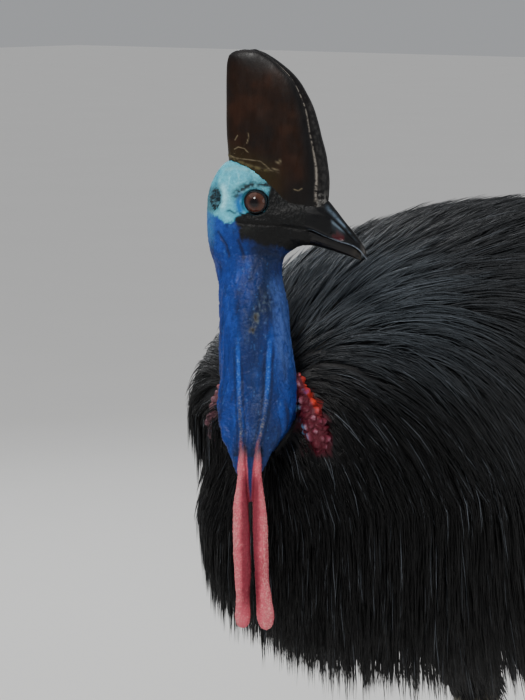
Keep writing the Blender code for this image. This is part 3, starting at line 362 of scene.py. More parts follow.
def layers(points, scale, seed=0, count=3):
    """Noise with finer and weaker noise over it."""
    scale = np.asarray(scale, float)
    return sum(noise(points, scale * 2.1**i, seed + i) / 1.8**i for i in range(count)) / 1.6


def pebbles(points, scale, seed=0):
    """1 in the middle of each pebble and 0 between pebbles, `scale` pebbles a metre."""
    at = points * scale
    base = np.floor(at).astype(np.int64)
    nearest_one = np.full(len(points), 9.0)
    second = np.full(len(points), 9.0)
    for step in np.ndindex(3, 3, 3):
        cell = base + np.array(step) - 1
        spot = cell + 0.5 + 0.42 * np.stack([lattice(cell, seed + s) for s in (1, 2, 3)], axis=1)
        far = ((spot - at) ** 2).sum(axis=1)
        second = np.minimum(second, np.maximum(far, nearest_one))
        nearest_one = np.minimum(nearest_one, far)
    return np.clip((np.sqrt(second) - np.sqrt(nearest_one)) * 1.9, 0, 1)


# Meshes


def put_in_scene(name, data):
    made = bpy.data.objects.new(name, data)
    bpy.context.scene.collection.objects.link(made)
    return made


def make_object(name, points, faces):
    mesh = bpy.data.meshes.new(name)
    mesh.from_pydata(np.asarray(points, float).tolist(), [], [list(map(int, f)) for f in faces])
    shaped = bmesh.new()
    shaped.from_mesh(mesh)
    bmesh.ops.recalc_face_normals(shaped, faces=shaped.faces)
    if shaped.calc_volume(signed=True) < 0:
        bmesh.ops.reverse_faces(shaped, faces=shaped.faces)
    shaped.to_mesh(mesh)
    shaped.free()
    return put_in_scene(name, mesh)


def tube(rings, first=None, last=None):
    """A closed tube through rings (ring, point, 3), its ends drawn to first and last."""
    rings = np.asarray(rings, float)
    count, around = rings.shape[:2]
    first = rings[0].mean(axis=0) if first is None else np.asarray(first, float)
    last = rings[-1].mean(axis=0) if last is None else np.asarray(last, float)
    points = np.concatenate([rings.reshape(-1, 3), [first], [last]])
    j = np.arange(around)
    k = (j + 1) % around
    faces = []
    for i in range(count - 1):
        a, b = i * around, (i + 1) * around
        faces += np.stack([a + j, a + k, b + k, b + j], axis=1).tolist()
    end = (count - 1) * around
    faces += [[count * around, b, a] for a, b in zip(j, k)]
    faces += [[count * around + 1, end + a, end + b] for a, b in zip(j, k)]
    return points, faces


def loft(name, rings, first=None, last=None):
    return make_object(name, *tube(rings, first, last))


def apply_modifiers(thing):
    graph = bpy.context.evaluated_depsgraph_get()
    graph.update()
    mesh = bpy.data.meshes.new_from_object(thing.evaluated_get(graph))
    thing.modifiers.clear()
    thing.data = mesh


def combine(name, things):
    """One object with the meshes of all these, which go."""
    points, faces, base = [], [], 0
    for thing in things:
        points += [tuple(v.co) for v in thing.data.vertices]
        faces += [[base + i for i in f.vertices] for f in thing.data.polygons]
        base += len(thing.data.vertices)
        bpy.data.objects.remove(thing, do_unlink=True)
    mesh = bpy.data.meshes.new(name)
    mesh.from_pydata(points, [], faces)
    return put_in_scene(name, mesh)


def remesh(thing, voxel):
    step = thing.modifiers.new("skin", "REMESH")
    step.mode, step.voxel_size, step.adaptivity = "VOXEL", voxel, 0.0
    apply_modifiers(thing)


def fuse(thing, others):
    for other in others:
        step = thing.modifiers.new("fuse", "BOOLEAN")
        step.operation, step.object, step.solver = "UNION", other, "MANIFOLD"
        apply_modifiers(thing)
        bpy.data.objects.remove(other, do_unlink=True)


def read(rows, field, kind=np.float32, wide=3):
    """A field of all rows of a mesh, as an array."""
    flat = np.empty(len(rows) * wide, kind)
    rows.foreach_get(field, flat)
    return flat.reshape(-1, wide)


def points_of(thing):
    return read(thing.data.vertices, "co").astype(float)


def normals_of(thing):
    return read(thing.data.vertex_normals, "vector").astype(float)


def set_points(thing, points):
    thing.data.vertices.foreach_set("co", np.asarray(points, np.float32).ravel())
    thing.data.update()


def tree_of(thing):
    faces = [tuple(f.vertices) for f in thing.data.polygons]
    return BVHTree.FromPolygons(points_of(thing).tolist(), faces)


def nearest(tree, points):
    """The nearest places on a form, and the directions in which it faces there."""
    places, facing = np.empty_like(points), np.empty_like(points)
    for i, point in enumerate(points.tolist()):
        places[i], facing[i] = tree.find_nearest(point)[:2]
    return places, facing


def relax(thing, times, share=0.5):
    """Moves each point to the middle of its neighbours by a share, one or one for each point."""
    points = points_of(thing)
    a, b = read(thing.data.edges, "vertices", np.int32, 2).T
    size = len(points)
    count = np.bincount(np.concatenate([a, b]), minlength=size)[:, None]
    for _ in range(times):
        total = [np.bincount(a, p[b], size) + np.bincount(b, p[a], size) for p in points.T]
        points = points * (1 - share) + np.stack(total, axis=1) / count * share
    set_points(thing, points)


def tint(thing, colours):
    """Gives each point a colour, as an attribute that the materials read."""
    layer = thing.data.color_attributes.new("Tint", "FLOAT_COLOR", "POINT")
    full = np.ones((len(colours), 4), np.float32)
    full[:, :3] = np.clip(np.asarray(colours) / 1000, 0, 1)
    layer.data.foreach_set("color", full.ravel())


def paint(base, *coats):
    """A base colour, one or one for each point, under coats: a colour, a share for each point."""
    base = np.asarray(base, float)
    for colour, share in coats:
        share = np.clip(share, 0, 1)[:, None]
        base = base * (1 - share) + np.asarray(colour, float) * share
    return base


def material(name, grain, gloss, bumps=(), level=0.5, stretch=(1, 1, 1), base=None):
    """A material of noise over the tint or a base colour.

    Grain is (scale, detail, roughness, darkest, lightest), and gloss a number or (scale, detail,
    roughness, stretched, low, high, smooth, rough). A bump is (scale, detail, roughness,
    strength, distance, stretched), of cells where its detail is 0.
    """
    made = bpy.data.materials.new(name)
    made.use_nodes = True
    tree = made.node_tree

    def link(node, inputs):
        for key, value in inputs.items():
            if isinstance(value, bpy.types.NodeSocket):
                tree.links.new(value, node.inputs[key])
            else:
                node.inputs[key].default_value = value
        return node

    def put(kind, inputs, **settings):
        node = tree.nodes.new("ShaderNode" + kind)
        for key, value in settings.items():
            setattr(node, key, value)
        return link(node, inputs)

    def texture(scale, detail, rough, stretched=True):
        at = {"Vector": put("TexCoord", {}).outputs["Object"]}
        at["Scale"] = stretch if stretched else (1, 1, 1)
        at = {"Vector": put("Mapping", at).outputs["Vector"], "Scale": scale}
        if not detail:
            return put("TexVoronoi", at).outputs["Distance"]
        return put("TexNoise", {**at, "Detail": detail, "Roughness": rough}).outputs["Fac"]

    def span(value, *limits):
        return put("MapRange", dict(enumerate((value, *limits)))).outputs["Result"]

    share = span(texture(*grain[:3]), 0.0, 1.0, *grain[3:])
    grey = put("CombineColor", dict.fromkeys(("Red", "Green", "Blue"), share)).outputs["Color"]
    colour = base or put("VertexColor", {}, layer_name="Tint").outputs["Color"]
    mixed = put("Mix", {}, data_type="RGBA", blend_type="MULTIPLY")
    inputs = {"Base Color": link(mixed, {0: 1.0, 6: colour, 7: grey}).outputs[2]}
    inputs["Roughness"] = gloss
    if not isinstance(gloss, float):
        inputs["Roughness"] = span(texture(*gloss[:4]), *gloss[4:])
    inputs["Specular IOR Level"] = level
    normal = {}
    for scale, detail, rough, strength, distance, stretched in bumps:
        height = texture(scale, detail, rough, stretched)
        bump = {"Height": height, "Strength": strength, "Distance": distance}
        normal = {"Normal": put("Bump", {**bump, **normal}).outputs["Normal"]}
    link(tree.nodes["Principled BSDF"], {**inputs, **normal})
    return made


def horn_material(name, smoothest, roughest, stretch, level=0.28, bump=0.4):
    bumps = [(260.0, 4.0, 0.65, bump, 0.0005, True), (55.0, 3.0, 0.5, 0.35, 0.0012, False)]
    gloss = (150.0, 5.0, 0.7, True, 0.3, 0.7, smoothest, roughest)
    return material(name, (90.0, 6.0, 0.7, 0.55, 1.45), gloss, bumps, level, stretch)


def dress(thing, material, slot, *replaced):
    """Finishes a piece: its material, what it rides on and what it stands for. Its slot is not
    used.
    """
    thing.data.materials.clear()
    thing.data.materials.append(material)
    thing.data.polygons.foreach_set("use_smooth", np.ones(len(thing.data.polygons), bool))
    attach(thing, "root")
    if replaced:
        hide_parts(*replaced)


# Forms of the body


def head_form():
    top, turn, rings = HEAD_SECTIONS[-1][0], turns(64), []
    narrowing = (1 - HEAD_NARROWS * np.cos(turn)) / (1 + 0.25 * HEAD_NARROWS)
    for share in np.sin(np.linspace(0, 1, 40) * math.pi / 2):
        up = HEAD_FLOOR + (top - HEAD_FLOOR) * share
        back, front, half_width = smooth(HEAD_SECTIONS, up)[0]
        forward = (back + front) / 2 + (front - back) / 2 * np.cos(turn)
        left = half_width * np.sin(turn) * narrowing
        rings.append(np.stack([forward, left, np.full(64, up)], axis=1))
    return loft("form", head_points(rings), None, head_points((-0.027, 0.0, top + 0.0008)))


def bill_rings(stations, places, around, narrow, grow=0.0):
    """Cross sections of a mandible, flat where it meets the other one."""
    cosine, sine = np.cos(turns(around)), np.sin(turns(around))
    power = np.where(cosine * narrow < 0, 0.3, 1.0)
    rings = []
    grow = np.broadcast_to(grow, len(places))
    for place, more, (top, bottom, half_width) in zip(places, grow, smooth(stations, places)):
        left = (half_width + more) * sine * (1 - narrow * cosine)
        up = (top + bottom) / 2 + ((top - bottom) / 2 + more) * bent(cosine, power)
        rings.append(np.stack([np.full(around, place), left, up], axis=1))
    return np.array(rings)


def muzzle_form(stations, narrow):
    """Skin over the root of a mandible, out of which its horn comes."""
    places = np.linspace(0.004, MUZZLE_END, 30)
    grow = 0.0007 - 0.0024 * ramp(places, HORN_START + 0.004, MUZZLE_END)
    return loft("form", head_points(bill_rings(stations, places, 48, narrow, grow)))


def neck_section(share):
    centre, (heading, half_width, half_depth) = np.split(smooth(NECK_SECTIONS, share)[0], [3])
    before, after = smooth(NECK_SECTIONS, [max(share - 0.02, 0), min(share + 0.02, 1)])[:, :3]
    upright = min(1.0, 0.35 + 1.3 * share)
    line = unit(unit(after - before) * (1 - upright) + UP * upright)
    forward, _ = heading_axes(math.radians(heading))
    forward = unit(forward - line * (forward @ line))
    return oval(centre, forward, np.cross(line, forward), half_depth, half_width, turns(48))


def lobe(table, count, around=28):
    """A hanging fold or wattle, from level sections upwards: z, x, y, half width, half depth."""
    rings, levels = [], np.linspace(table[0, 0], table[-1, 0], count)
    for z, (x, y, wide, deep) in zip(levels, smooth(table, levels)):
        rings.append(oval((x, y, z), THROAT_FORWARD, THROAT_LEFT, deep, wide, turns(around)))
    return loft("form", rings)


def wattle_table(label):
    z, off, wide, thick = WATTLES[label].T
    x, y = (WATTLE_MIDDLE[i] + THROAT_LEFT[i] * off for i in (0, 1))
    return np.stack([z, x, y, wide, thick], axis=1)


def ridge_line(label, count):
    """Points of a ridge on the front of the throat fold, upwards."""
    keys = THROAT_RIDGES[label]
    levels = np.linspace(keys[0][0], keys[-1][0], count)
    line = []
    for z, (off,) in zip(levels, smooth(keys, levels)):
        x, y, half_width, half_depth = smooth(THROAT_FOLD, z)[0]
        reach = math.sqrt(max(0.0, 1 - (off / half_width) ** 2))
        line.append([x, y, z] + THROAT_LEFT * off + THROAT_FORWARD * half_depth * reach)
    return line


def ridge(label):
    """A low ridge of skin on the fold, from its wattle upwards."""
    rings = []
    for share, point in zip(np.linspace(0, 1, 30), ridge_line(label, 30)):
        size = RIDGE_RADIUS * (1 - 0.75 * share**1.5)
        centre = point + THROAT_FORWARD * (0.0008 - 0.0012 * share)
        rings.append(oval(centre, THROAT_FORWARD, THROAT_LEFT, size * 0.9, size, turns(12)))
    return loft("form", rings)


def patch_line(side, count):
    """Places along a patch (x, y, z, half width), and the directions out of it and across it."""
    right = (*RIGHT_PATCH_SHIFT, RIGHT_PATCH_SIZE)
    move_x, move_y, size = (0.0, 0.0, 1.0) if side > 0 else right
    x, y, z, half = PATCH_LINE.T
    x = NECK_SIDE + side * (x - NECK_SIDE) + move_x
    keys = np.stack([np.linspace(0, 1, len(x)), x, y + move_y, z, half * size], axis=1)
    outward = unit([side * 0.62, -0.76, 0.10])
    across = unit(np.cross(outward, unit(keys[-1, 1:4] - keys[0, 1:4])))
    return smooth(keys, np.linspace(0, 1, count)), outward, across


def patch_form(side):
    rows, outward, across = patch_line(side, 30)
    rings = [
        oval(row[:3], across, outward, row[3], min(PATCH_THICKNESS, row[3]), turns(24))
        for row in rows
    ]
    return loft("form", rings)


def body_section(y, around=96, boxy=2.3):
    top, bottom, half_width = smooth(BODY_SECTIONS, y)[0]
    widest = bottom + BODY_WIDEST * (top - bottom)
    cosine, sine = np.cos(turns(around)), np.sin(turns(around))
    reach = np.where(cosine > 0, top - widest, widest - bottom)
    z = widest + reach * bent(cosine, 2 / boxy)
    ring = np.stack([half_width * bent(sine, 2 / boxy), np.full(around, y), z], axis=1)
    dent = ramp(-(ring @ PICTURE_RIGHT), 0.20, 0.32) * np.interp(ring[:, 2], *CHEST_DENT.T)
    return ring + np.outer(dent, PICTURE_RIGHT)


def body_places(count):
    low, high = BODY_SECTIONS[0][0], BODY_SECTIONS[-1][0]
    share = (1 - np.cos(np.linspace(0, math.pi, count))) / 2
    return low + (high - low) * (0.35 * np.linspace(0, 1, count) + 0.65 * share)


def body_form():
    rings = np.array([body_section(y) for y in body_places(90)])
    first, last = rings[0].mean(axis=0), rings[-1].mean(axis=0)
    round_end = np.array([0.0, 0.004, 0.0])
    return loft("form", rings, first - round_end, last + round_end)


def leg_points(label):
    """The hip, the ankle and the foot's joint."""
    side = SIDES[label]
    return [
        np.array([side * x, y - share * side * LEG_STEP, z])
        for (x, y, z), share in ((HIP, 0.4), (ANKLE, 0.8), (FOOT_JOINT, 1.0))
    ]


def limb_axes(start, end):
    line = unit(end - start)
    left = np.array([1.0, 0.0, 0.0])
    return line, unit(np.cross(left, line)), left


def limb_point(start, end, share, turn, half_width, half_depth):
    """A point on a limb's side: turn 0 is its front."""
    _, forward, left = limb_axes(start, end)
    centre = start + (end - start) * np.asarray(share)[..., None]
    ahead = (np.cos(turn) * half_depth)[..., None] * forward
    return centre + ahead + (np.sin(turn) * half_width)[..., None] * left


def limb_form(start, end, sections, count=40):
    shares = np.linspace(sections[0][0], sections[-1][0], count)
    rings = [
        limb_point(start, end, np.full(32, share), turns(32), wide, deep)
        for share, (wide, deep) in zip(shares, smooth(sections, shares))
    ]
    return loft("form", rings)


def toe_rings(label, toe, count=40):
    joint = leg_points(label)[2]
    angle, length, radius, _ = TOES[toe]
    along, _ = heading_axes(math.radians(angle) * SIDES[label])
    across = np.array([along[1], -along[0], 0.0])
    keys = [(i / (len(TOE_SWELLS) - 1), s) for i, s in enumerate(TOE_SWELLS)]
    rings = []
    for share in np.linspace(0, 1, count):
        size = radius * smooth(keys, share)[0][0] * (1 - 0.22 * share)
        middle = joint + along * (0.004 + length * share)
        middle[2] = size * TOE_HEIGHT
        ring = oval(middle, UP, across, size, size, turns(28))
        ring[:, 2] = np.maximum(ring[:, 2], 0.0)
        rings.append(ring)
    return np.array(rings), along, across


def wing_line(side):
    return np.array(WING_SHOULDER) * (side, 1, 1), np.array(WING_WRIST) * (side, 1, 1)


def wing_form(side):
    shoulder, wrist = wing_line(side)
    line = unit(wrist - shoulder)
    up = unit(UP - line * line[2])
    out = np.cross(line, up) * side
    rings = []
    for share in np.linspace(0, 1, 16):
        tall, thick = smooth(WING_SECTIONS, share)[0]
        rings.append(oval(shoulder + (wrist - shoulder) * share, up, out, tall, thick, turns(20)))
    return loft("form", rings)


# Where things are on the skin


def near_line(points, line, sizes):
    """How far each point is from a line of points, in sizes: 1 on a tube of that size."""
    best = np.full(len(points), 1e9)
    for centre, size in zip(line, np.broadcast_to(sizes, len(line))):
        best = np.minimum(best, np.linalg.norm(points - centre, axis=1) / size)
    return best


def stroke(points, path, width):
    """1 on a path over a plane and less away from it, by width; all in the same unit."""
    best = np.full(len(points), 1e9)
    path = np.asarray(path, float)
    for start, end in zip(path, path[1:]):
        line = end - start
        t = np.clip((points - start) @ line / (line @ line), 0, 1)
        away = points - start - t[:, None] * line
        best = np.minimum(best, (away**2).sum(axis=1))
    return np.exp(-best / width**2)


def fold_place(points):
    """Places from the middle of the throat fold, ahead and to the left, and its half sizes."""
    rows = smooth(THROAT_FOLD, points[:, 2])
    away = points[:, :2] - rows[:, :2]
    return away @ THROAT_FORWARD[:2], away @ THROAT_LEFT[:2], rows[:, 3], rows[:, 2]


def fold_reach(points, grow):
    """How far each point is from the middle of the throat fold: 1 on its side."""
    ahead, aside, deep, wide = fold_place(points)
    reach = np.hypot(ahead / (deep + grow), aside / (wide + grow))
    return np.where((points[:, 2] < 0.960) & (points[:, 2] > 0.800), reach, 9.0)


def wattle_reach(points):
    best = []
    for table in map(wattle_table, WATTLES):
        levels = np.linspace(table[0, 0], table[-1, 0], 90)
        rows = smooth(table, levels)
        line = np.stack([rows[:, 0], rows[:, 1], levels], axis=1)
        best.append(near_line(points, line, rows[:, 2] + 0.0022))
    return np.minimum(*best)


def ridge_reach(points):
    """Distance from the nearest ridge, along the skin's front or straight, in ridge radii."""
    ahead, aside, _, _ = fold_place(points)
    front = (ahead > 0) & (points[:, 2] > 0.850)
    best = np.full(len(points), 9.0)
    straight = []
    for label, keys in THROAT_RIDGES.items():
        offset = smooth(keys, points[:, 2])[:, 0]
        best = np.minimum(best, np.abs(aside - offset) / RIDGE_RADIUS)
        straight.append(near_line(points, ridge_line(label, 40), RIDGE_RADIUS))
    return np.minimum(np.minimum(*straight), np.where(front, best, 9.0))


def patch_reach(points, grow=0.0):
    """Distance from a patch's line in half widths, its place along it, and its place across it."""
    best = np.full(len(points), 1e9)
    share, lean = np.zeros((2, len(points)))
    for side in SIDES.values():
        rows, _, across = patch_line(side, 50)
        for place, row in zip(np.linspace(0, 1, 50), rows):
            away = (points - row[:3]) / (row[3] + grow)
            far = np.linalg.norm(away, axis=1)
            closer = far < best
            best = np.where(closer, far, best)
            share = np.where(closer, place, share)
            lean = np.where(closer, away @ across, lean)
    return best, share, lean


def neck_rows(points):
    """Sections of the neck at the height of each point."""
    share = np.interp(points[:, 2], NECK_SECTIONS[:, 3], NECK_SECTIONS[:, 0])
    return smooth(NECK_SECTIONS, share)


def neck_distance(points):
    """Distance outside the side of the neck, level, in metres."""
    rows = neck_rows(points)
    away = np.linalg.norm(points[:, :2] - rows[:, :2], axis=1)
    return away - rows[:, 4:6].mean(axis=1)


def ear_reach(forward, up):
    return np.hypot((forward - EAR_AT[0]) / EAR_RADII[0], (up - EAR_AT[1]) / EAR_RADII[1])


# Skin


def skin_shape(points):
    """How far each point of the fine skin moves out along its normal."""
    forward, left, up = head_local(points).T
    on_head = ramp(up, -0.090, -0.058)
    wattle = ramp(wattle_reach(points), 1.25, 0.95) * ramp(points[:, 2], 0.872, 0.858)
    patch = ramp(patch_reach(points)[0], 1.30, 1.05)
    plain = (1 - on_head) * (1 - wattle) * (1 - patch)
    pleats = 0.3 - np.abs(layers(points, (58, 58, 9), 3, 2))
    creases = np.clip(1 - np.abs(noise(points, (150, 150, 60), 9)) * 5, 0, 1)
    wrinkle = np.clip(1 - np.abs(layers(points, (210, 210, 300), 15, 2)) * 4, 0, 1)
    folds = pebbles(points, 430, 6) - 0.5 + layers(points, (180, 180, 45), 12, 2)
    beads = (pebbles(points, 330, 4) - 0.5) * 0.0008
    move = plain * (pleats * 0.0040 - creases * 0.0009 + beads)
    move += wattle * folds * 0.0008
    move += patch * (pebbles(points, 105, 8) ** 0.7 - 0.25) * 0.0052
    move += on_head * ((pebbles(points, 420, 17) - 0.5) * 0.0003 - wrinkle * 0.0006)
    flat = np.stack([forward, up], axis=1) * 1000
    sides = ramp(np.abs(left), 0.004, 0.009) * ramp(up, -0.066, -0.056)
    for width, depth, path in HEAD_CREASES:
        line = stroke(flat, path, width * 2.6) * 0.20 - stroke(flat, path, width) * 1.20
        move += sides * line * depth * 0.001
    move += stroke(flat, [(-35, 14), (-34, 4), (-35, -6)], 4.0) * sides * 0.0012
    return move - ramp(ear_reach(forward, up), 1.1, 0.2) * 0.0026


def neck_colours(points, fine, grain):
    """Ultramarine, brighter on both sides of a dull band that faces the camera, with a painted
    shadow under the jaw.
    """
    z = points[:, 2]
    away = points[:, :2] - neck_rows(points)[:, :2]
    turn = np.arctan2(away @ PICTURE_RIGHT[:2], away @ TO_CAMERA[:2])
    streak = layers(points, (130, 130, 20), 25)
    blotch = layers(points, (75, 75, 45), 26)
    speck = layers(points, (420, 420, 230), 27, 2)
    wander = turn + 0.10 * layers(points, (40, 40, 14), 28, 2)
    low = ramp(z, 1.02, 0.90)
    middle = bell(wander, 0.14 * low - 0.10, 0.40 + 0.08 * low)
    middle *= 1 - 0.75 * ramp(z, 0.990, 1.025)
    dull = paint(
        (6.5, 18, 75),
        ((11, 32, 115), ramp(blotch + 0.6 * fine, 0, 0.8)),
        ((10, 35, 170), ramp(streak - 0.3 * fine, 0.05, 0.7) * 0.7),
    )
    # painted shadow: a dark band that the jaw casts down the upper neck
    path = np.interp(z, (0.975, 1, 1.02, 1.04, 1.06), (-0.05, 0.08, 0.28, 0.50, 0.60))
    throat = bell(wander, path, 0.40) * ramp(z, 0.970, 1.005)
    pale = ramp(speck - 0.5 * fine + 0.3 * middle, 0.85, 1.25) * (1 - 0.7 * ramp(z, 0.99, 1.02))
    bright = ramp(turn, 0.40, 0.75) * ramp(z, 0.90, 0.97) * ramp(z, 1.045, 1.025)
    away = points - np.array(NECK_CRUST)
    side, rise, near = away @ PICTURE_RIGHT, away[:, 2], np.abs(away @ TO_CAMERA) < 0.03
    spots = [bell(side, at, w) * bell(rise, drop, h) for at, drop, w, h in CRUST_SPOTS]
    crust = np.max(spots, axis=0) * near
    halo = bell(side - 0.45 * rise, 0.003, 0.0075) * bell(rise, 0.004, 0.020) * near
    return paint(
        (7.5, 30, 190),
        ((12, 58, 330), ramp(streak + 0.5 * fine, 0, 0.7) * 0.85),
        ((5, 12, 55), ramp(0.4 * blotch - streak, 0.05, 0.70) * 0.75),
        (dull, middle * (0.90 - 0.25 * ramp(blotch, 0.1, 0.8))),
        # painted shadow under the jaw
        ((4.8, 11, 30), throat * 0.84),
        ((50, 155, 430), ramp(speck + 0.25 * grain, 0.35, 0.85) * 0.42),
        ((90, 135, 210), pale * 0.30),
        ((50, 105, 320), bright * ramp(fine, -0.9, 0.3) * 0.8),
        ((85, 115, 135), halo * ramp(speck + 0.6 * fine, -0.1, 0.6) * 0.70),
        ((85, 90, 80), ramp(crust + 0.45 * fine + 0.35 * speck, 0.25, 0.95) * 0.70),
        ((14, 11, 8), ramp(crust + 0.40 * speck, 0.62, 0.95) * 0.92),
    )


def wattle_colours(points, fine):
    """Crimson, with painted highlights on the outer sides and on the pebbles, and painted shade on
    the inner halves.
    """
    z = points[:, 2]
    off = np.abs((points[:, :2] - WATTLE_MIDDLE) @ THROAT_LEFT[:2] * 1000 - 1)
    spots = pebbles(points, 430, 6)
    # painted shade on the inner half of each wattle, between the two
    inner = ramp(off + 1.5 * fine, 12.5, 7) * ramp(z, 0.84, 0.82) * ramp(z, 0.670, 0.700)
    # painted highlight along the outer side of each wattle
    rim = ramp(off + fine, 11, 15.5)
    return paint(
        (570, 98, 135),
        # painted highlights on the tops of the raised pebbles
        ((740, 270, 275), ramp(spots + 0.25 * fine, 0.40, 1) * 0.66),
        ((230, 18, 34), ramp(layers(points, (95, 95, 26), 31), 0, 0.7) * 0.5),
        ((150, 10, 24), inner * 0.85),
        ((700, 300, 285), rim * ramp(spots, 0.15, 0.75) * 0.6),
        ((120, 105, 125), ramp(z + 0.008 * fine, 0.842, 0.862) * 0.8),
    )


def patch_colours(points, fine):
    """Dark crimson warts with painted highlights on their tops, orange along the upper rear edge,
    pale blue beads in front.
    """
    reach, along, lean = patch_reach(points, 0.0025)
    warts = pebbles(points, 105, 8)
    front = np.where(points[:, 0] > NECK_SIDE, -lean, lean)
    edge = ramp(along, 0.60, 0.38) * ramp(0.15 * fine - front, 0.30, 0.62)
    beads = ramp(front, 0.62, 0.85) * ramp(warts, 0.30, 0.65) * ramp(along, 0.2, 0.4)
    red = paint(
        (85, 9, 18),
        ((200, 34, 66), ramp(warts, 0.25, 0.85) * 0.85),
        # painted highlights on the tops of the warts
        ((340, 190, 230), ramp(warts + 0.6 * fine, 0.55, 1.25) * 0.75),
        ((130, 65, 80), ramp(points[:, 0], 0, -0.01) * 0.75),
        ((520, 34, 12), edge * (0.50 + 0.50 * warts)),
        ((70, 210, 360), beads * 0.85),
    )
    return red, reach


def pale_colours(points, forward, up, wide, fine):
    """Turquoise skin round the eye, with its brow, ear and the blue behind the eye."""
    local = points @ HEAD_AXES.T
    hairs = layers(local, (190, 190, 35), 29)
    lifted = ramp(up, 2, 14)
    brow_hairs = ramp(noise(local, (260, 260, 620), 30) + 0.6 * fine, -0.45, 0.25)
    ear = ear_reach(forward / 1000, up / 1000)

    def line(width, *path):
        return stroke(np.stack([forward, up], axis=1), path, width)

    brow = [(-21, 8), (-15, 13.6), (-8, 17.3), (2, 18.8), (12, 17.8), (17, 13.5)]
    return paint(
        (70, 380, 500),
        ((150, 590, 710), ramp(wide + fine * 0.5, -0.15, 0.6) * 0.7),
        ((35, 240, 420), ramp(0.5 * fine - wide, 0.15, 0.8) * 0.55),
        ((40, 200, 280), ramp(hairs, 0, 0.6) * lifted * 0.65),
        ((260, 700, 790), ramp(-hairs, 0.2, 0.7) * lifted * 0.6),
        ((320, 760, 860), line(4.2, (-36, 15), (-33.5, 6), (-36, -5)) * 0.85),
        ((160, 620, 780), line(5, (-35, -12), (-30, -19)) * 0.6),
        ((10, 95, 370), line(4, (-16, 7), (-18.5, 0), (-16, -9)) * 0.90),
        ((18, 160, 330), line(2.5, (-22, 5), (-22, -5)) * ramp(fine, -0.4, 0.4) * 0.5),
        ((55, 140, 165), line(5.5, *brow) * 0.75),
        ((6, 14, 18), line(4.4, *brow) * brow_hairs * 0.98),
        ((150, 490, 600), line(1.1, (-9, 12.6), (0, 15.2), (8, 13.4)) * 0.85),
        # painted shade in the crease of the lower fold under the eye
        ((6, 12, 20), line(1.2, *LOWER_FOLD) * ramp(fine, -0.5, 0.1) * 0.9),
        ((40, 110, 150), ramp(forward, -44, -51) * ramp(np.abs(up), 18, 10) * 0.85),
        ((55, 150, 190), ramp(ear + 0.30 * fine, 1.7, 0.9) * 0.70),
        ((26, 66, 90), ramp(ear + 0.20 * fine, 1.15, 0.35) * 0.90),
        ((200, 480, 520), line(2.2, (-34, 34), (-24, 37), (-10, 34)) * 0.5),
    )


def black_share(forward, up, floor, wobble):
    """Where the black cheek, jaw and lores are."""
    cheek = np.interp(up, (-50, -44, -35, -22, -17, -13, -11), (-11, -14, -17, -20, -20.5, -14, -7))
    black = ramp(forward - cheek + wobble, -2.6, 2.6) * ramp(0.4 * wobble - up - 10, -1.5, 1.5)
    lores = forward - np.interp(up, (-12, 0, 8, 17, 24), (8, 12.5, 13.5, 14, 12))
    black = np.maximum(black, ramp(lores + 0.5 * wobble, -2, 2) * ramp(up, -17, -14))
    return black * ramp(up - floor + 2 * wobble, -6, 5) * ramp(up, -68, -60)


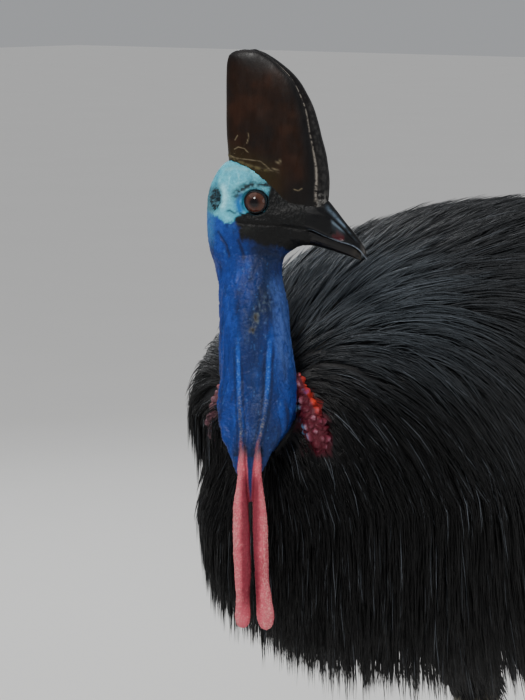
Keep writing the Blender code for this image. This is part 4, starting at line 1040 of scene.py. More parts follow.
def skin_colours(points):
    """Colours of the bare skin by place."""
    forward, left, up = (head_local(points) * 1000).T
    flat = np.stack([forward, up], axis=1)
    z = points[:, 2]
    wide = layers(points, 55, 21)
    fine = layers(points, 260, 22)
    grain = noise(points, 900, 23)

    # ridges of the fold turn from bright blue to grey, and then to the red of the wattles
    reach = ridge_reach(points)
    edge = ramp(reach + 0.25 * fine, 1.05, 0.50) * ramp(z + 0.01 * fine, 0.985, 0.950)
    beads = pebbles(points, 420, 4)
    lower = edge * ramp(z + 0.012 * fine, 0.930, 0.890)
    wattle = ramp(wattle_reach(points), 1.12, 0.95) * ramp(z, 0.868, 0.850)
    red, patch = patch_colours(points, fine)
    high_beads = ramp(beads + 0.3 * fine, 0.65, 1) * ramp(z, 0.885, 0.91)

    # head: turquoise down to a wavy edge, pale further down along the nape
    nape = ramp(forward, -43, -52) * ramp(up, -60, -22)
    below = ramp(up, -48, -26) * ramp(forward, -16, -22)
    edge_at = np.interp(forward, (-60, -44, -33, -27, -20, -14), (-12, -17, -23.5, -23.5, -19, -16))
    pale = ramp(up - edge_at + 2.2 * fine + 1.2 * grain, -2.2, 2.2)

    # head: black cheek, jaw and lores
    wobble = 2.4 * fine + 1.6 * noise(points, 120, 43)
    floor = np.interp(forward, (-14, 0, 12, 24, 40), (-41, -44, -48, -52, -60))
    black = black_share(forward, up, floor, wobble)
    specks = stroke(flat, [(12, 17), (20, 10), (28, 3), (42, -7)], 1.1)
    specks *= ramp(fine + grain, 0.45, 0.8)
    dark = paint(
        (2.8, 3.0, 3.2),
        ((10, 13, 17), ramp(fine + 0.5 * grain, 0.30, 1) * 0.6),
        ((11, 12, 11), bell(forward, -9, 9) * bell(up, -29, 6) * 0.8),
        # painted shade in the crease of the mouth line
        ((1.0, 1.0, 1.2), stroke(flat, MOUTH_LINE, 1.9) * 0.95),
        ((60, 75, 65), specks * 0.7),
    )
    # painted shade: dark navy down the throat, below the black jaw
    jaw_shade = bell(up, floor - 8, 11) * ramp(forward, -14, 2) * (1 - np.clip(black, 0, 1))
    # painted shade in the two creases down the sides of the throat
    throat = [
        ((4, 8, 28), stroke(flat, path, width * 1.25) * ramp(np.abs(left), 4, 9) * 0.75)
        for width, _, path in HEAD_CREASES[:2]
    ]
    colour = paint(
        neck_colours(points, fine, grain),
        # painted shade along both sides of each raised ridge
        ((4, 10, 45), bell(reach, 1.8, 0.5) * ramp(z, 0.98, 0.94) * 0.7),
        ((12, 110, 560), edge * (0.45 + 0.5 * beads)),
        ((110, 250, 560), edge * high_beads * 0.7),
        ((14, 18, 40), lower * 0.8),
        ((125, 120, 125), lower * ramp(beads, 0.25, 0.75) * 0.85),
        ((330, 60, 75), edge * ramp(z + 0.006 * fine, 0.876, 0.852)),
        # painted shade on the bottom of the throat fold, round the tops of the wattles
        ((4, 9, 34), ramp(z, 0.875, 0.845) * ramp(reach, 4.5, 2.5) * 0.9),
        (wattle_colours(points, fine), wattle),
        (red, ramp(patch + 0.10 * fine, 1.28, 1.12)),
        ((45, 220, 430), nape * (0.85 + 0.3 * fine)),
        ((16, 62, 300), below * ramp(fine, -0.6, 0.5) * 0.75),
        (pale_colours(points, forward, up, wide, fine), pale),
        (dark, black),
        ((5, 11, 38), jaw_shade * (0.85 + 0.4 * fine)),
        # painted shade in the throat creases
        *throat,
    )
    return colour * (1 + 0.16 * grain)[:, None]


def eye_hollow(points):
    """Sinks the skin in front of each eyeball, so that the ball shows in its opening."""
    local = head_local(points)
    far = np.hypot(local[:, 0], local[:, 2])
    ball = np.sqrt(np.clip(EYE_RADIUS**2 - far**2, 0, None))
    share = ramp(far, LID_OPENING + 0.0032, LID_OPENING + 0.0002)
    left = np.abs(local[:, 1])
    sunk = left * (1 - share) + np.minimum(left, EYE_LATERAL + ball - 0.0030) * share
    on = (far < 0.017) & (left > 0.012)
    local[:, 1] = np.where(on, np.sign(local[:, 1]) * sunk, local[:, 1])
    return head_points(local)


def lid(name, side, tree):
    """The two lids: a rounded, wrinkled rim whose inner edge lies on the eyeball."""
    around = 96
    turn = turns(around)
    rings = []
    for step, (radius, lift) in enumerate(LID_RINGS):
        forward = radius * np.cos(turn)
        up = radius * np.sin(turn) * (1 - 0.05 * np.sin(turn) ** 2)
        ball = EYE_LATERAL + np.sqrt(np.clip(EYE_RADIUS**2 - forward**2 - up**2, 0, None))
        outer = []
        for f, u, b in zip(forward, up, ball):
            start = Vector(head_points((f, side * 0.06, u)))
            hit = tree.ray_cast(start, Vector(-side * HEAD_AXES[1]))[0]
            outer.append(abs(head_local(np.array(hit))[1]) if hit else b)
        outward = ramp(radius, 0.0123, 0.0140)
        surface = ball * (1 - outward) + np.array(outer) * outward
        wrinkle = 0.0003 * np.sin(turn * 3 + step * 1.7) * (step > 4)
        wrinkle = wrinkle + 0.00025 * np.sin(step * 2.9 + turn * 2)
        left = side * (surface + lift + wrinkle * (step > 3))
        rings.append(np.stack([forward, left, up], axis=1))
    for radius in (0.0166, 0.0130, 0.0111):
        ball = EYE_LATERAL + math.sqrt(max(0.0, EYE_RADIUS**2 - radius**2)) - 0.0022
        rings.append(disc(radius, side * (ball if radius < EYE_RADIUS else 0.0215), turn))
    faces = []
    for i in range(len(rings)):
        a, b = i * around, (i + 1) % len(rings) * around
        for j in range(around):
            k = (j + 1) % around
            faces.append([a + j, a + k, b + k, b + j])
    return make_object(name, head_points(np.concatenate(rings)), faces)


def lid_colours(points):
    forward, _, up = (head_local(points) * 1000).T
    far = np.hypot(forward, up)
    sine, cosine = up / far, forward / far
    fine = layers(points, 400, 51)
    line = bell(far, 14, 0.65) * (0.10 + 0.90 * ramp(sine - 0.4 * cosine, 0, 0.7))
    # painted glints along the edge of the lower lid
    lid_glint = bell(far, 13.2, 0.45) * ramp(-sine, 0.45, 0.8) * ramp(fine, -0.2, 0.5)
    return paint(
        skin_colours(points),
        ((100, 380, 520), line * ramp(fine, -0.7, 0.2) * 0.8),
        ((240, 290, 310), lid_glint * 0.8),
        ((8, 9, 11), ramp(far + 0.2 * fine, 13.6, 12.9) * (1 - lid_glint)),
    )


def leg_colours(points):
    """Grey-olive scales with darker gaps."""
    cell = pebbles(points, 210, 61)
    return paint(
        (120, 108, 80),
        ((200, 185, 140), ramp(cell, 0.3, 0.9) * 0.7),
        ((45, 42, 36), ramp(cell, 0.25, 0) * 0.8),
        ((75, 80, 85), ramp(layers(points, 22, 63), 0, 0.7) * 0.5),
    )


def fine_skin():
    """Head, neck, fold, wattles and patches as one closed mesh, with its folds and warts."""
    parts = [
        head_form(),
        muzzle_form(UPPER_BILL, UPPER_NARROWS),
        muzzle_form(LOWER_BILL, LOWER_NARROWS),
        loft("form", [neck_section(s) for s in np.linspace(0.04, 1.0, 90)]),
        lobe(THROAT_FOLD, 50, 48),
    ]
    for label in SIDES:
        parts += [lobe(wattle_table(label), 120), ridge(label)]
    parts += [patch_form(side) for side in SIDES.values()]
    skin = combine("skin", parts)
    remesh(skin, FINE_VOXEL)
    relax(skin, 3)
    forward, _, up = head_local(points_of(skin)).T
    joins = 0.7 * bell(up, -0.064, 0.017)
    joins += 0.5 * bell(forward, 0.022, 0.014) * ramp(up, -0.060, -0.045) * ramp(up, 0.02, 0)
    relax(skin, 38, np.clip(joins, 0, 0.6)[:, None])
    points = points_of(skin)
    set_points(skin, eye_hollow(points + normals_of(skin) * skin_shape(points)[:, None]))
    return skin


def leg_skin(label):
    _, ankle, joint = leg_points(label)
    parts = [limb_form(ankle, joint, SHANK_SECTIONS, 80)]
    for toe in TOES:
        rings, along, _ = toe_rings(label, toe)
        parts.append(loft("form", rings, None, rings[-1].mean(axis=0) + along * 0.004))
    leg = combine("form", parts)
    remesh(leg, LEG_VOXEL)
    relax(leg, 2)
    points = points_of(leg)
    grain = (pebbles(points, 210, 61) - 0.4) * 0.0009 + layers(points, 90, 62) * 0.0006
    points = points + normals_of(leg) * grain[:, None]
    points[:, 2] = np.maximum(points[:, 2], 0.0004)
    set_points(leg, points)
    return leg


def build_skin(material, core):
    skin = fine_skin()
    body = [body_form()]
    body += [limb_form(*leg_points(label)[:2], THIGH_SECTIONS) for label in SIDES]
    body += [wing_form(side) for side in SIDES.values()]
    body = combine("form", body)
    remesh(body, BODY_VOXEL)
    relax(body, 2)
    fuse(skin, [body, *map(leg_skin, SIDES)])

    points = points_of(skin)
    y, z = points[:, 1], points[:, 2]
    near = (y < -0.30) & (z > 0.60) & (z < HEAD_BASE)
    outside = np.full(len(points), -1.0)  # of the body under the coat
    places, facing = nearest(core, points[near])
    away = points[near] - places
    outside[near] = np.linalg.norm(away, axis=1) * np.sign((away * facing).sum(axis=1))
    coat = ramp(outside, 0.0030, 0.0012) * ramp(patch_reach(points)[0], 1.20, 1.40)
    coat *= ((z < HEAD_BASE) | (y > -0.34)) * ramp(wattle_reach(points), 1.2, 1.5)
    scales = (leg_colours(points), ramp(z, *BARE_LEG))
    tint(skin, paint(skin_colours(points), (COAT_BLACK, coat), scales))
    replaced = ["head", "neck_upper", "neck_lower", "torso"]
    for label in SIDES:
        parts = ["wattle", "neck_patch", "thigh", "shank"] + [f"toe_{toe}" for toe in TOES]
        replaced += [f"{part}_{label}" for part in parts]
    dress(skin, material, "blue_skin", *replaced)
    tree = tree_of(skin)
    for label, side in SIDES.items():
        made = lid(f"lids_{label}", side, tree)
        tint(made, lid_colours(points_of(made)))
        dress(made, material, "pale_skin")
    return tree


# Bill, casque and eyes


def bill_finish(made, upper):
    """Grooves, nostrils and colours of a mandible."""
    points = points_of(made)
    local = head_local(points)
    forward, _, up = local.T
    top, bottom, _ = smooth(UPPER_BILL if upper else LOWER_BILL, forward).T
    height = (up - bottom) / np.maximum(top - bottom, 1e-4)
    move = np.zeros(len(points))
    scuff = layers(points, 180, 71)
    if upper:
        away = height - np.interp(forward, (0.070, 0.095, 0.106), (0.70, 0.69, 0.56))
        groove = bell(away, 0, 0.045)
        fade = ramp(forward, 0.064, 0.074) * ramp(forward, 0.112, 0.104)
        move += (bell(away, 0.15, 0.09) + bell(away, -0.10, 0.05)) * fade * 0.0005
        move -= groove * fade * 0.0012
        # painted highlight along the culmen band
        culmen_highlight = bell(away, 0.13, 0.060) * ramp(forward, 0.072, 0.080)
        culmen_highlight *= ramp(forward, 0.112, 0.090) * ramp(scuff, -0.9, 0.3)
        # painted highlight on the nasal ridge below the groove
        low = bell(away, -0.12, 0.055) * ramp(forward, 0.080, 0.084) * ramp(forward, 0.098, 0.090)
        # the groove is also painted near black, as painted shade
        coats = [((120, 170, 225), culmen_highlight * 0.85), ((2, 2, 3), groove * fade * 0.9)]
        coats.append(((120, 165, 210), low * 0.8))
        for side in SIDES.values():
            x, y, z = (local - np.array(NOSTRIL_AT) * (1, side, 1)).T
            cosine, sine = math.cos(NOSTRIL_SLOPE), math.sin(NOSTRIL_SLOPE)
            u = (x * cosine - z * sine) / NOSTRIL_RADII[0]
            w = (x * sine + z * cosine) / NOSTRIL_RADII[1]
            near = np.sqrt(u**2 + w**2 + (y / 0.010) ** 2)
            move += bell(near, 1.25, 0.22) * 0.0004 - ramp(near, 1, 0.35) * 0.0020
            coats.append(((1.5, 1.5, 2.0), ramp(near, 1.60, 1.30) * 0.95))
            coats.append(((50, 4, 8), ramp(near, 1, 0.75) * 0.97))
        # a slight rise along the cutting edge, with a painted highlight on it
        pale = bell(up - bottom, 0.0014, 0.00075) * ramp(forward, 0.048, 0.064)
        move += pale * 0.0004
        tip = ramp(forward, 0.111, 0.118) * ramp(scuff, -0.4, 0.5)
        coats.append(((200, 240, 300), pale * ramp(scuff, -0.9, 0.2) * 0.85))
        coats.append(((90, 82, 76), tip * 0.8))
    else:
        tip = ramp(forward, 0.100, 0.112) * ramp(scuff, -0.2, 0.5)
        coats = [((6, 4, 3.4), ramp(scuff, -0.3, 0.5) * 0.8), ((50, 43, 32), tip * 0.6)]
        move -= bell(height, 0.40, 0.10) * ramp(forward, 0.035, 0.06) * 0.0004
    coats.append(((14, 14, 17), ramp(scuff, 0.30, 0.9) * 0.5))
    set_points(made, points + normals_of(made) * move[:, None])
    tint(made, paint((3.2, 3.2, 3.8), *coats))


def build_bill(material):
    for part, stations, count, around, narrow, slim in (
        ("upper", UPPER_BILL, 150, 80, UPPER_NARROWS, 1.0),
        ("lower", LOWER_BILL, 110, 64, LOWER_NARROWS, 0.92),
    ):
        places = (stations[-1][0] - HORN_START) * np.linspace(0, 1, count) ** 0.85
        rings = bill_rings(stations, HORN_START + places, around, narrow)
        rings[..., 1] *= slim
        made = loft(f"bill_{part}_horn", head_points(rings))
        bill_finish(made, part == "upper")
        dress(made, material, "bill", f"bill_{part}")


def build_casque(material):
    around, count = 240, 300
    turn = turns(around)
    ahead, across = bent(np.cos(turn), 0.72), bent(np.sin(turn), 0.80)
    shares = 1 - (1 - np.linspace(0, 1, count)) ** 1.25
    rings = []
    for back_f, back_u, front_f, front_u, half in smooth(CASQUE_SECTIONS, shares):
        back, front = np.array([back_f, 0.0, back_u]), np.array([front_f, 0.0, front_u])
        ring = (back + front) / 2 + ahead[:, None] * (front - back) / 2
        ring[:, 1] = across * half
        rings.append(ring)
    made = loft("casque_horn", head_points(rings))
    points = points_of(made)
    local = head_local(points)
    along = np.concatenate([np.tile(ahead, count), [0, 0]])
    share = np.concatenate([np.repeat(shares, around), [0, 1]])
    wave = layers(points, 60, 81, 2)
    fine = layers(points, 320, 82)

    # a keel band along the front, a little raised, with a pale line on its edge, partly wear and
    # partly painted highlight
    edge = np.interp(share, (0, 0.10, 0.30, 0.60, 0.85), (0.86, 0.82, 0.80, 0.80, 0.86))
    edge = edge + 0.015 * noise(points, 45, 84)
    band = ramp(along, edge - 0.05, edge + 0.02)
    line_width = np.interp(share, (0, 0.25, 0.60, 0.90), (0.030, 0.020, 0.013, 0.006))
    line = bell(along, edge + 0.01, line_width) * ramp(share, 0.97, 0.90) * ramp(share, 0.03, 0.08)
    flat = local[:, [0, 2]] * 1000
    scratch = np.max([stroke(flat, path, 0.55) for path in CASQUE_SCRATCHES], axis=0)
    scratch *= ramp(np.abs(local[:, 1]), 0.006, 0.010) * ramp(fine, -0.9, 0.1)
    nicks = bell(noise(points, (300, 300, 160), 85), 0, 0.030)
    nicks *= ramp(noise(points, 60, 86), 0.40, 0.6) * ramp(along, -0.45, -0.85)
    scratch = np.maximum(scratch, nicks * 0.8)
    rim = bell(share, 0.135 + 0.05 * ramp(along, -0.6, 0.4), 0.012) * ramp(along, 0.15, -0.35)
    move = band * 0.0008 + layers(points, (38, 38, 30), 83, 2) * 0.0009
    move += line * 0.0005 * (0.5 + fine) - scratch * 0.0002 + rim * 0.0004
    set_points(made, points + normals_of(made) * move[:, None])

    low_back = ramp(share, 0.34, 0.10) * ramp(along, 0.45, -0.2)
    foot = ramp(share, 0.30, 0.02) * ramp(along, -0.1, 0.5) * (1 - band)
    grey = ramp(along, edge + 0.03, edge + 0.10) * ramp(fine, -0.3, 0.6) * ramp(share, 0.95, 0.75)
    # the pale line on the keel's edge: partly scuffs and partly a painted highlight
    worn = line * ramp(fine + 0.5 * noise(points, 120, 87), -0.55, 0.15)
    silver = bell(share, 0.09, 0.045) * ramp(along, edge - 0.03, edge + 0.02)
    colour = paint(
        (11.5, 4.6, 2.2),
        ((25, 8.5, 3.6), ramp(wave, -0.1, 0.6) * 0.7),
        ((6.5, 4.0, 3.5), ramp(0.3 * fine - wave, 0.1, 0.7) * 0.7),
        ((24, 16.5, 4.5), low_back * 0.8),
        ((150, 125, 55), rim * ramp(fine, -0.3, 0.4) * 0.55),
        ((4.5, 4.5, 5.0), ramp(along, edge - 0.30, edge - 0.06) * 0.92),
        ((4.5, 4.5, 5.0), ramp(share, 0.86, 0.97) * 0.85),
        ((4.0, 3.8, 4.0), foot * 0.9),
        ((35, 33, 31), grey * 0.6),
        ((240, 215, 185), worn * 0.85),
        ((180, 175, 165), silver * ramp(fine, -0.25, 0.3) * 0.75),
        ((170, 140, 85), scratch * 0.75),
    )
    tint(made, colour)
    dress(made, material, "casque", "casque")


def build_eyes(material):
    turn = turns(96)
    for label, side in SIDES.items():
        rings = []
        for tilt in np.linspace(0, math.pi, 72)[1:-1]:
            radius = EYE_RADIUS + CORNEA * math.exp(-((tilt / 0.45) ** 2))
            left = side * (EYE_LATERAL + radius * math.cos(tilt))
            rings.append(disc(radius * math.sin(tilt), left, turn))
        front, back = EYE_LATERAL + EYE_RADIUS + CORNEA, EYE_LATERAL - EYE_RADIUS
        poles = head_points([(0, side * front, 0), (0, side * back, 0)])
        made = loft(f"eyeball_{label}", head_points(rings), *poles)
        forward, _, up = (head_local(points_of(made)) * 1000).T
        far = np.hypot(forward - 0.4, up + 0.2)
        angle = np.arctan2(up, forward)
        spokes = np.stack([np.cos(angle), np.sin(angle), far * 0.03], axis=1)
        fibres = 0.5 + 0.5 * noise(spokes, 14, 91)
        colour = paint(
            (52, 19, 12),
            ((76, 32, 21), fibres * ramp(far, 6.5, 9.5) * 0.8),
            ((80, 20, 9), ramp(-up, 3, 9) * 0.45),
            ((16, 6, 5), ramp(far, 7.6, 4.2)),
            ((3, 2, 3), ramp(far, 5.2, 3.2)),
            ((3, 2, 2), ramp(far, 10.6, 11.4)),
        )
        tint(made, colour)
        dress(made, material, "eye", f"eye_{label}")


# Coat


def flow(points, normals):
    """Directions in which the coat lies at places of the body."""
    down = np.interp(normals[:, 2], (-1.0, 0.0, 0.45, 0.8, 1.0), (3.2, 2.2, 1.10, 0.42, 0.14))
    away = points - np.array(NECK_ROOT)
    far = np.linalg.norm(away, axis=1, keepdims=True)
    wanted = np.stack([np.zeros(len(points)), np.ones(len(points)), -down], axis=1)
    wanted = wanted + 1.4 * np.exp(-far / 0.11) * away / far
    return unit(wanted - normals * (wanted * normals).sum(axis=1, keepdims=True))


def body_map():
    """Points of the body by place along it and evenly round it, with the length round it."""
    places = body_places(160)
    rings, lengths = [], []
    for y in places:
        ring = body_section(y)
        ring = np.concatenate([ring, ring[:1]])
        steps = np.linalg.norm(np.diff(ring, axis=0), axis=1)
        reach = np.concatenate([[0.0], np.cumsum(steps)])
        shares = np.linspace(0, reach[-1], 97)
        rings.append(np.stack([np.interp(shares, reach, column) for column in ring.T], axis=1))
        lengths.append(reach[-1])
    rings = np.array(rings)
    slant = np.linalg.norm(np.diff(rings, axis=0), axis=2).mean(axis=1) / np.diff(places)
    return places, rings, lengths * np.interp(places, (places[1:] + places[:-1]) / 2, slant)


def tuft_roots(count):
    """Evenly scattered places on the body, closer at the front, with their two map shares."""
    places, rings, lengths = body_map()
    weight = lengths * np.interp(places, (-0.45, -0.30, -0.05, 0.20), (1.9, 1.8, 1.15, 0.9)) + 0.02
    total = np.cumsum((weight[1:] + weight[:-1]) / 2 * np.diff(places))
    total = np.concatenate([[0.0], total])
    index = np.arange(1, count + 1)
    chance = np.random.default_rng(17)
    first, second = ((index * s + chance.uniform(-0.004, 0.004, count)) % 1.0 for s in SCATTER)
    y = np.interp(first * total[-1], total, places)
    row = np.interp(y, places, np.arange(len(places)))
    low = np.clip(row.astype(int), 0, len(places) - 2)
    t = (row - low)[:, None]
    column = second * 96
    left = np.clip(column.astype(int), 0, 95)
    s = (column - left)[:, None]
    lower, upper = (rings[i, left] * (1 - s) + rings[i, left + 1] * s for i in (low, low + 1))
    return lower * (1 - t) + upper * t, np.stack([second, first], axis=1)


def tuft_paths(tree, roots, lengths, lifts, leans):
    """Paths of all tufts at once: along the body, rising, then hanging free under it."""

    def lie(place, facing):
        along = flow(place, facing)
        return unit(along + np.cross(facing, along) * leans[:, None])

    place, normal = nearest(tree, roots)
    along = lie(place, normal)
    point = place - normal * 0.002
    paths, outward = [point], [normal]
    hanging = np.zeros(len(roots), bool)
    stride = (lengths / PATH_STEPS)[:, None]
    back = 0.30 * ramp(roots[:, 1], -0.34, -0.12) * ramp(roots[:, 1], 0.34, 0.16)
    fall = np.stack([np.zeros(len(roots)), back, -np.ones(len(roots))], axis=1)
    for step in range(1, PATH_STEPS + 1):
        height = -0.002 + (lifts + 0.002)[:, None] * (step / PATH_STEPS) ** 0.62
        ahead, facing = nearest(tree, point + along * stride)
        hanging = hanging | (facing[:, 2] < -0.14)
        drop = unit(0.50 * along + 0.50 * fall)
        free_normal = unit(normal - drop * (normal * drop).sum(axis=1, keepdims=True))
        where = hanging[:, None]
        point = np.where(where, point + drop * stride, ahead + facing * height)
        along = np.where(where, drop, lie(ahead, facing))
        normal = np.where(where, free_normal, unit(0.5 * normal + 0.5 * facing))
        paths.append(point)
        outward.append(normal)
    return np.stack(paths, axis=1), np.stack(outward, axis=1)


def at_shares(lines, shares):
    """Points at shares (tuft, strand, ring) of lines (tuft, step, 3)."""
    steps = lines.shape[1] - 1
    where = np.clip(shares * steps, 0, steps - 1e-6)
    low = where.astype(int)
    t = (where - low)[..., None]
    rows = np.arange(len(lines)).reshape(-1, 1, 1)
    return lines[rows, low] * (1 - t) + lines[rows, low + 1] * t


def strands(paths, outward, keep, widths, spread, chance, count=7, wave=0.0016):
    """Corner points (strand, ring and tip, 3) of all strands of all tufts, and each one's tuft."""
    tufts = len(paths)
    keep, widths, spread = (np.broadcast_to(v, tufts)[:, None] for v in (keep, widths, spread))
    reach = keep * chance.uniform(0.72, 1.0, (tufts, count))
    shares = reach[..., None] * RING_PLACES
    centre = at_shares(paths, shares)
    before = at_shares(paths, np.clip(shares - 0.05, 0, 1))
    after = at_shares(paths, np.clip(shares + 0.05, 0, 1))
    out = at_shares(outward, shares)
    along = unit(after - before + 1e-9)
    out = unit(out - along * (out * along).sum(axis=-1, keepdims=True))
    across = np.cross(along, out)
    angle = chance.uniform(0, 2 * math.pi, (tufts, count, 1))
    radius = np.sqrt(chance.uniform(0.02, 1, (tufts, count, 1)))
    gather = radius * spread[..., None] * np.interp(RING_PLACES, (0, 0.45, 1), (0.9, 1.0, 0.42))
    phase = chance.uniform(0, 6.28, (tufts, count, 1))
    side = np.cos(angle) * gather + wave * np.sin(phase + RING_PLACES * 5.0) * RING_PLACES
    high = np.sin(angle) * gather * 0.38
    centre = centre + across * side[..., None] + out * high[..., None]
    roll = chance.uniform(-0.75, 0.75, (tufts, count, 1, 1))
    turned = across * np.cos(roll) + out * np.sin(roll)
    width = (widths * chance.uniform(0.75, 1.2, (tufts, count)))[..., None] * RING_WIDTHS
    wide = turned * width[..., None]
    tall = np.cross(turned, along) * width[..., None] * 0.42
    corners = np.stack([centre - wide / 2, centre + wide / 2, centre + tall], axis=3)
    tuft = np.repeat(np.arange(tufts), count)
    return corners.reshape(tufts * count, len(RING_PLACES), 3, 3), tuft


def strand_mesh(name, corners, uv, colours):
    """One mesh of closed, tapering strands, each mapped to a patch at its root's place."""
    total, rings = len(corners), corners.shape[1] - 1
    body = corners[:, :rings].reshape(total, rings * 3, 3)
    points = np.concatenate([body, corners[:, rings, :1]], axis=1)
    each = rings * 3 + 1
    faces = [[0, 2, 1]]
    for a in range(0, (rings - 1) * 3, 3):
        for j, k in ((0, 1), (1, 2), (2, 0)):
            faces += [[a + j, a + k, a + 3 + k], [a + j, a + 3 + k, a + 3 + j]]
    last = (rings - 1) * 3
    faces += [[last + j, last + (j + 1) % 3, each - 1] for j in range(3)]
    loops = (np.array(faces) + (np.arange(total) * each)[:, None, None]).reshape(-1)
    mesh = bpy.data.meshes.new(name)
    mesh.vertices.add(total * each)
    mesh.vertices.foreach_set("co", points.astype(np.float32).ravel())
    mesh.loops.add(len(loops))
    mesh.loops.foreach_set("vertex_index", loops.astype(np.int32))
    count = total * len(faces)
    mesh.polygons.add(count)
    mesh.polygons.foreach_set("loop_start", (np.arange(count) * 3).astype(np.int32))
    mesh.update(calc_edges=True)
    patch = [((k % 3) / 3 - 0.33, (k // 3) / rings - 0.5) for k in range(each)]
    places = uv[:, None] * 0.99 + 0.005 + np.array(patch) * 0.003
    places = np.clip(places, 0, 1).reshape(-1, 2)
    layer = mesh.uv_layers.new(name="OFBake")
    layer.data.foreach_set("uv", places[loops].astype(np.float32).ravel())
    made = put_in_scene(name, mesh)
    tint(made, np.repeat(colours, each, axis=0))
    return made


def strand_colours(roots, chance):
    """Blue-grey near the neck and charcoal on the back, both painted sheen, black below, by each
    strand's root; a few strands carry painted glints.
    """
    far = np.linalg.norm(roots - np.array(NECK_ROOT), axis=1)
    # painted sheen: charcoal over the upper body and blue-grey near the neck
    high = ramp(roots[:, 2] + 0.14 * ramp(roots[:, 1], -0.36, -0.10), 0.86, 1.05)
    near = ramp(far, 0.27, 0.13) * ramp(roots[:, 2], 0.91, 1.01)
    # painted glints on a few pale strands
    pale = chance.uniform(0, 1, len(roots)) > 0.965
    colour = paint(
        (2.2, 2.2, 2.6),
        ((32, 34, 37), high * 0.9),
        ((80, 97, 115), near * 0.9),
        ((150, 170, 200), pale * (0.45 - 0.15 * high)),
    )
    swing = 0.45 - 0.25 * np.maximum(high, near)[:, None]
    return colour * (1 + swing * chance.uniform(-1, 1, (len(roots), 1)))


def build_coat(material, tree):
    chance = np.random.default_rng(23)
    roots, uv = tuft_roots(COAT_TUFTS)
    _, normals = nearest(tree, roots)
    limit = np.interp(roots[:, 1], *np.transpose(BELLY_LIMIT))
    ok = (normals[:, 2] > limit) & ((neck_distance(roots) > 0.001) | (roots[:, 1] > -0.36))
    roots, uv = roots[ok], uv[ok]
    count = len(roots)
    far = np.linalg.norm(roots - np.array(NECK_ROOT), axis=1)
    length, lift, width = smooth(FEATHERS, far).T
    length = length * chance.uniform(0.80, 1.15, count)
    lift = lift * chance.uniform(0.55, 1.0, count)
    leans = chance.normal(0, 0.09, count) + 0.12 * noise(roots, 14, 93)
    paths, outward = tuft_paths(tree, roots, length, lift, leans)

    # paths end before bare skin and above the fringe
    flat = paths.reshape(-1, 3)
    bare = (patch_reach(flat, 0.002)[0] < 1.05) | (fold_reach(flat, 0.002) < 1.0)
    bare |= (wattle_reach(flat) < 1.1) | (neck_distance(flat) < 0.0) & (flat[:, 1] < -0.37)
    bare = bare.reshape(count, -1)
    bare[:, 0] = False
    x, y, z = np.moveaxis(paths, 2, 0)
    floor = np.interp(y, *FRINGE.T) + 0.045 * ramp(-x, 0.0, 0.12) * ramp(-y, 0.15, 0.30)
    stop = bare | (z < floor + chance.uniform(-0.020, 0.030, (count, 1)))
    first = np.where(stop.any(axis=1), stop.argmax(axis=1), PATH_STEPS + 1) - 1
    ok = first >= 2
    keep = (first / PATH_STEPS)[ok]
    paths, outward, roots, uv, width, far = (a[ok] for a in (paths, outward, roots, uv, width, far))
    spread = np.interp(far, (0.05, 0.3, 0.8), (0.0050, 0.0075, 0.0090))
    corners, tuft = strands(paths, outward, keep, width, spread, chance)
    colours = strand_colours(roots[tuft], chance)
    order = np.argsort(roots[tuft][:, 1], kind="stable")
    pieces = max(1, math.ceil(len(order) / PIECE_STRANDS))
    for i, part in enumerate(np.array_split(order, pieces)):
        made = strand_mesh(f"coat_{i + 1}", corners[part], uv[tuft[part]], colours[part])
        dress(made, material, "coat")


def build_thigh_coat(material):
    """Short feathers down the thighs, over the top of the bare leg."""
    chance = np.random.default_rng(31)
    count = THIGH_TUFTS
    steps = np.linspace(0, 1, PATH_STEPS + 1)
    sections = np.vstack([THIGH_SECTIONS, [1.3, 0.030, 0.033]])
    for label in SIDES:
        hip, ankle, _ = leg_points(label)
        index = np.arange(1, count + 1)
        place = 0.30 + 0.66 * ((index * SCATTER[0]) % 1.0)
        turn = 2 * math.pi * ((index * SCATTER[1]) % 1.0)
        length = chance.uniform(0.055, 0.085, count) * np.interp(place, (0.3, 1.0), (1.2, 0.75))
        shares = place[:, None] + (length / np.linalg.norm(ankle - hip))[:, None] * steps
        wide, deep = smooth(sections, shares.ravel()).T.reshape(2, count, -1)
        rise = -0.002 + 0.0125 * steps**0.7 * chance.uniform(0.6, 1, (count, 1))
        bent_turn = turn[:, None] + chance.normal(0, 0.10, (count, 1)) * steps
        paths = limb_point(hip, ankle, shares, bent_turn, wide + rise, deep + rise)
        outward = unit(paths - limb_point(hip, ankle, shares, bent_turn, 0, 0))
        corners, tuft = strands(paths, outward, 1.0, 0.0019, 0.0065, chance)
        colours = np.array([10.5, 10.5, 11.8]) * chance.uniform(0.6, 1.6, (len(tuft), 1))
        uv = np.stack([turn / (2 * math.pi), place], axis=1)
        dress(strand_mesh(f"thigh_coat_{label}", corners, uv[tuft], colours), material, "coat")


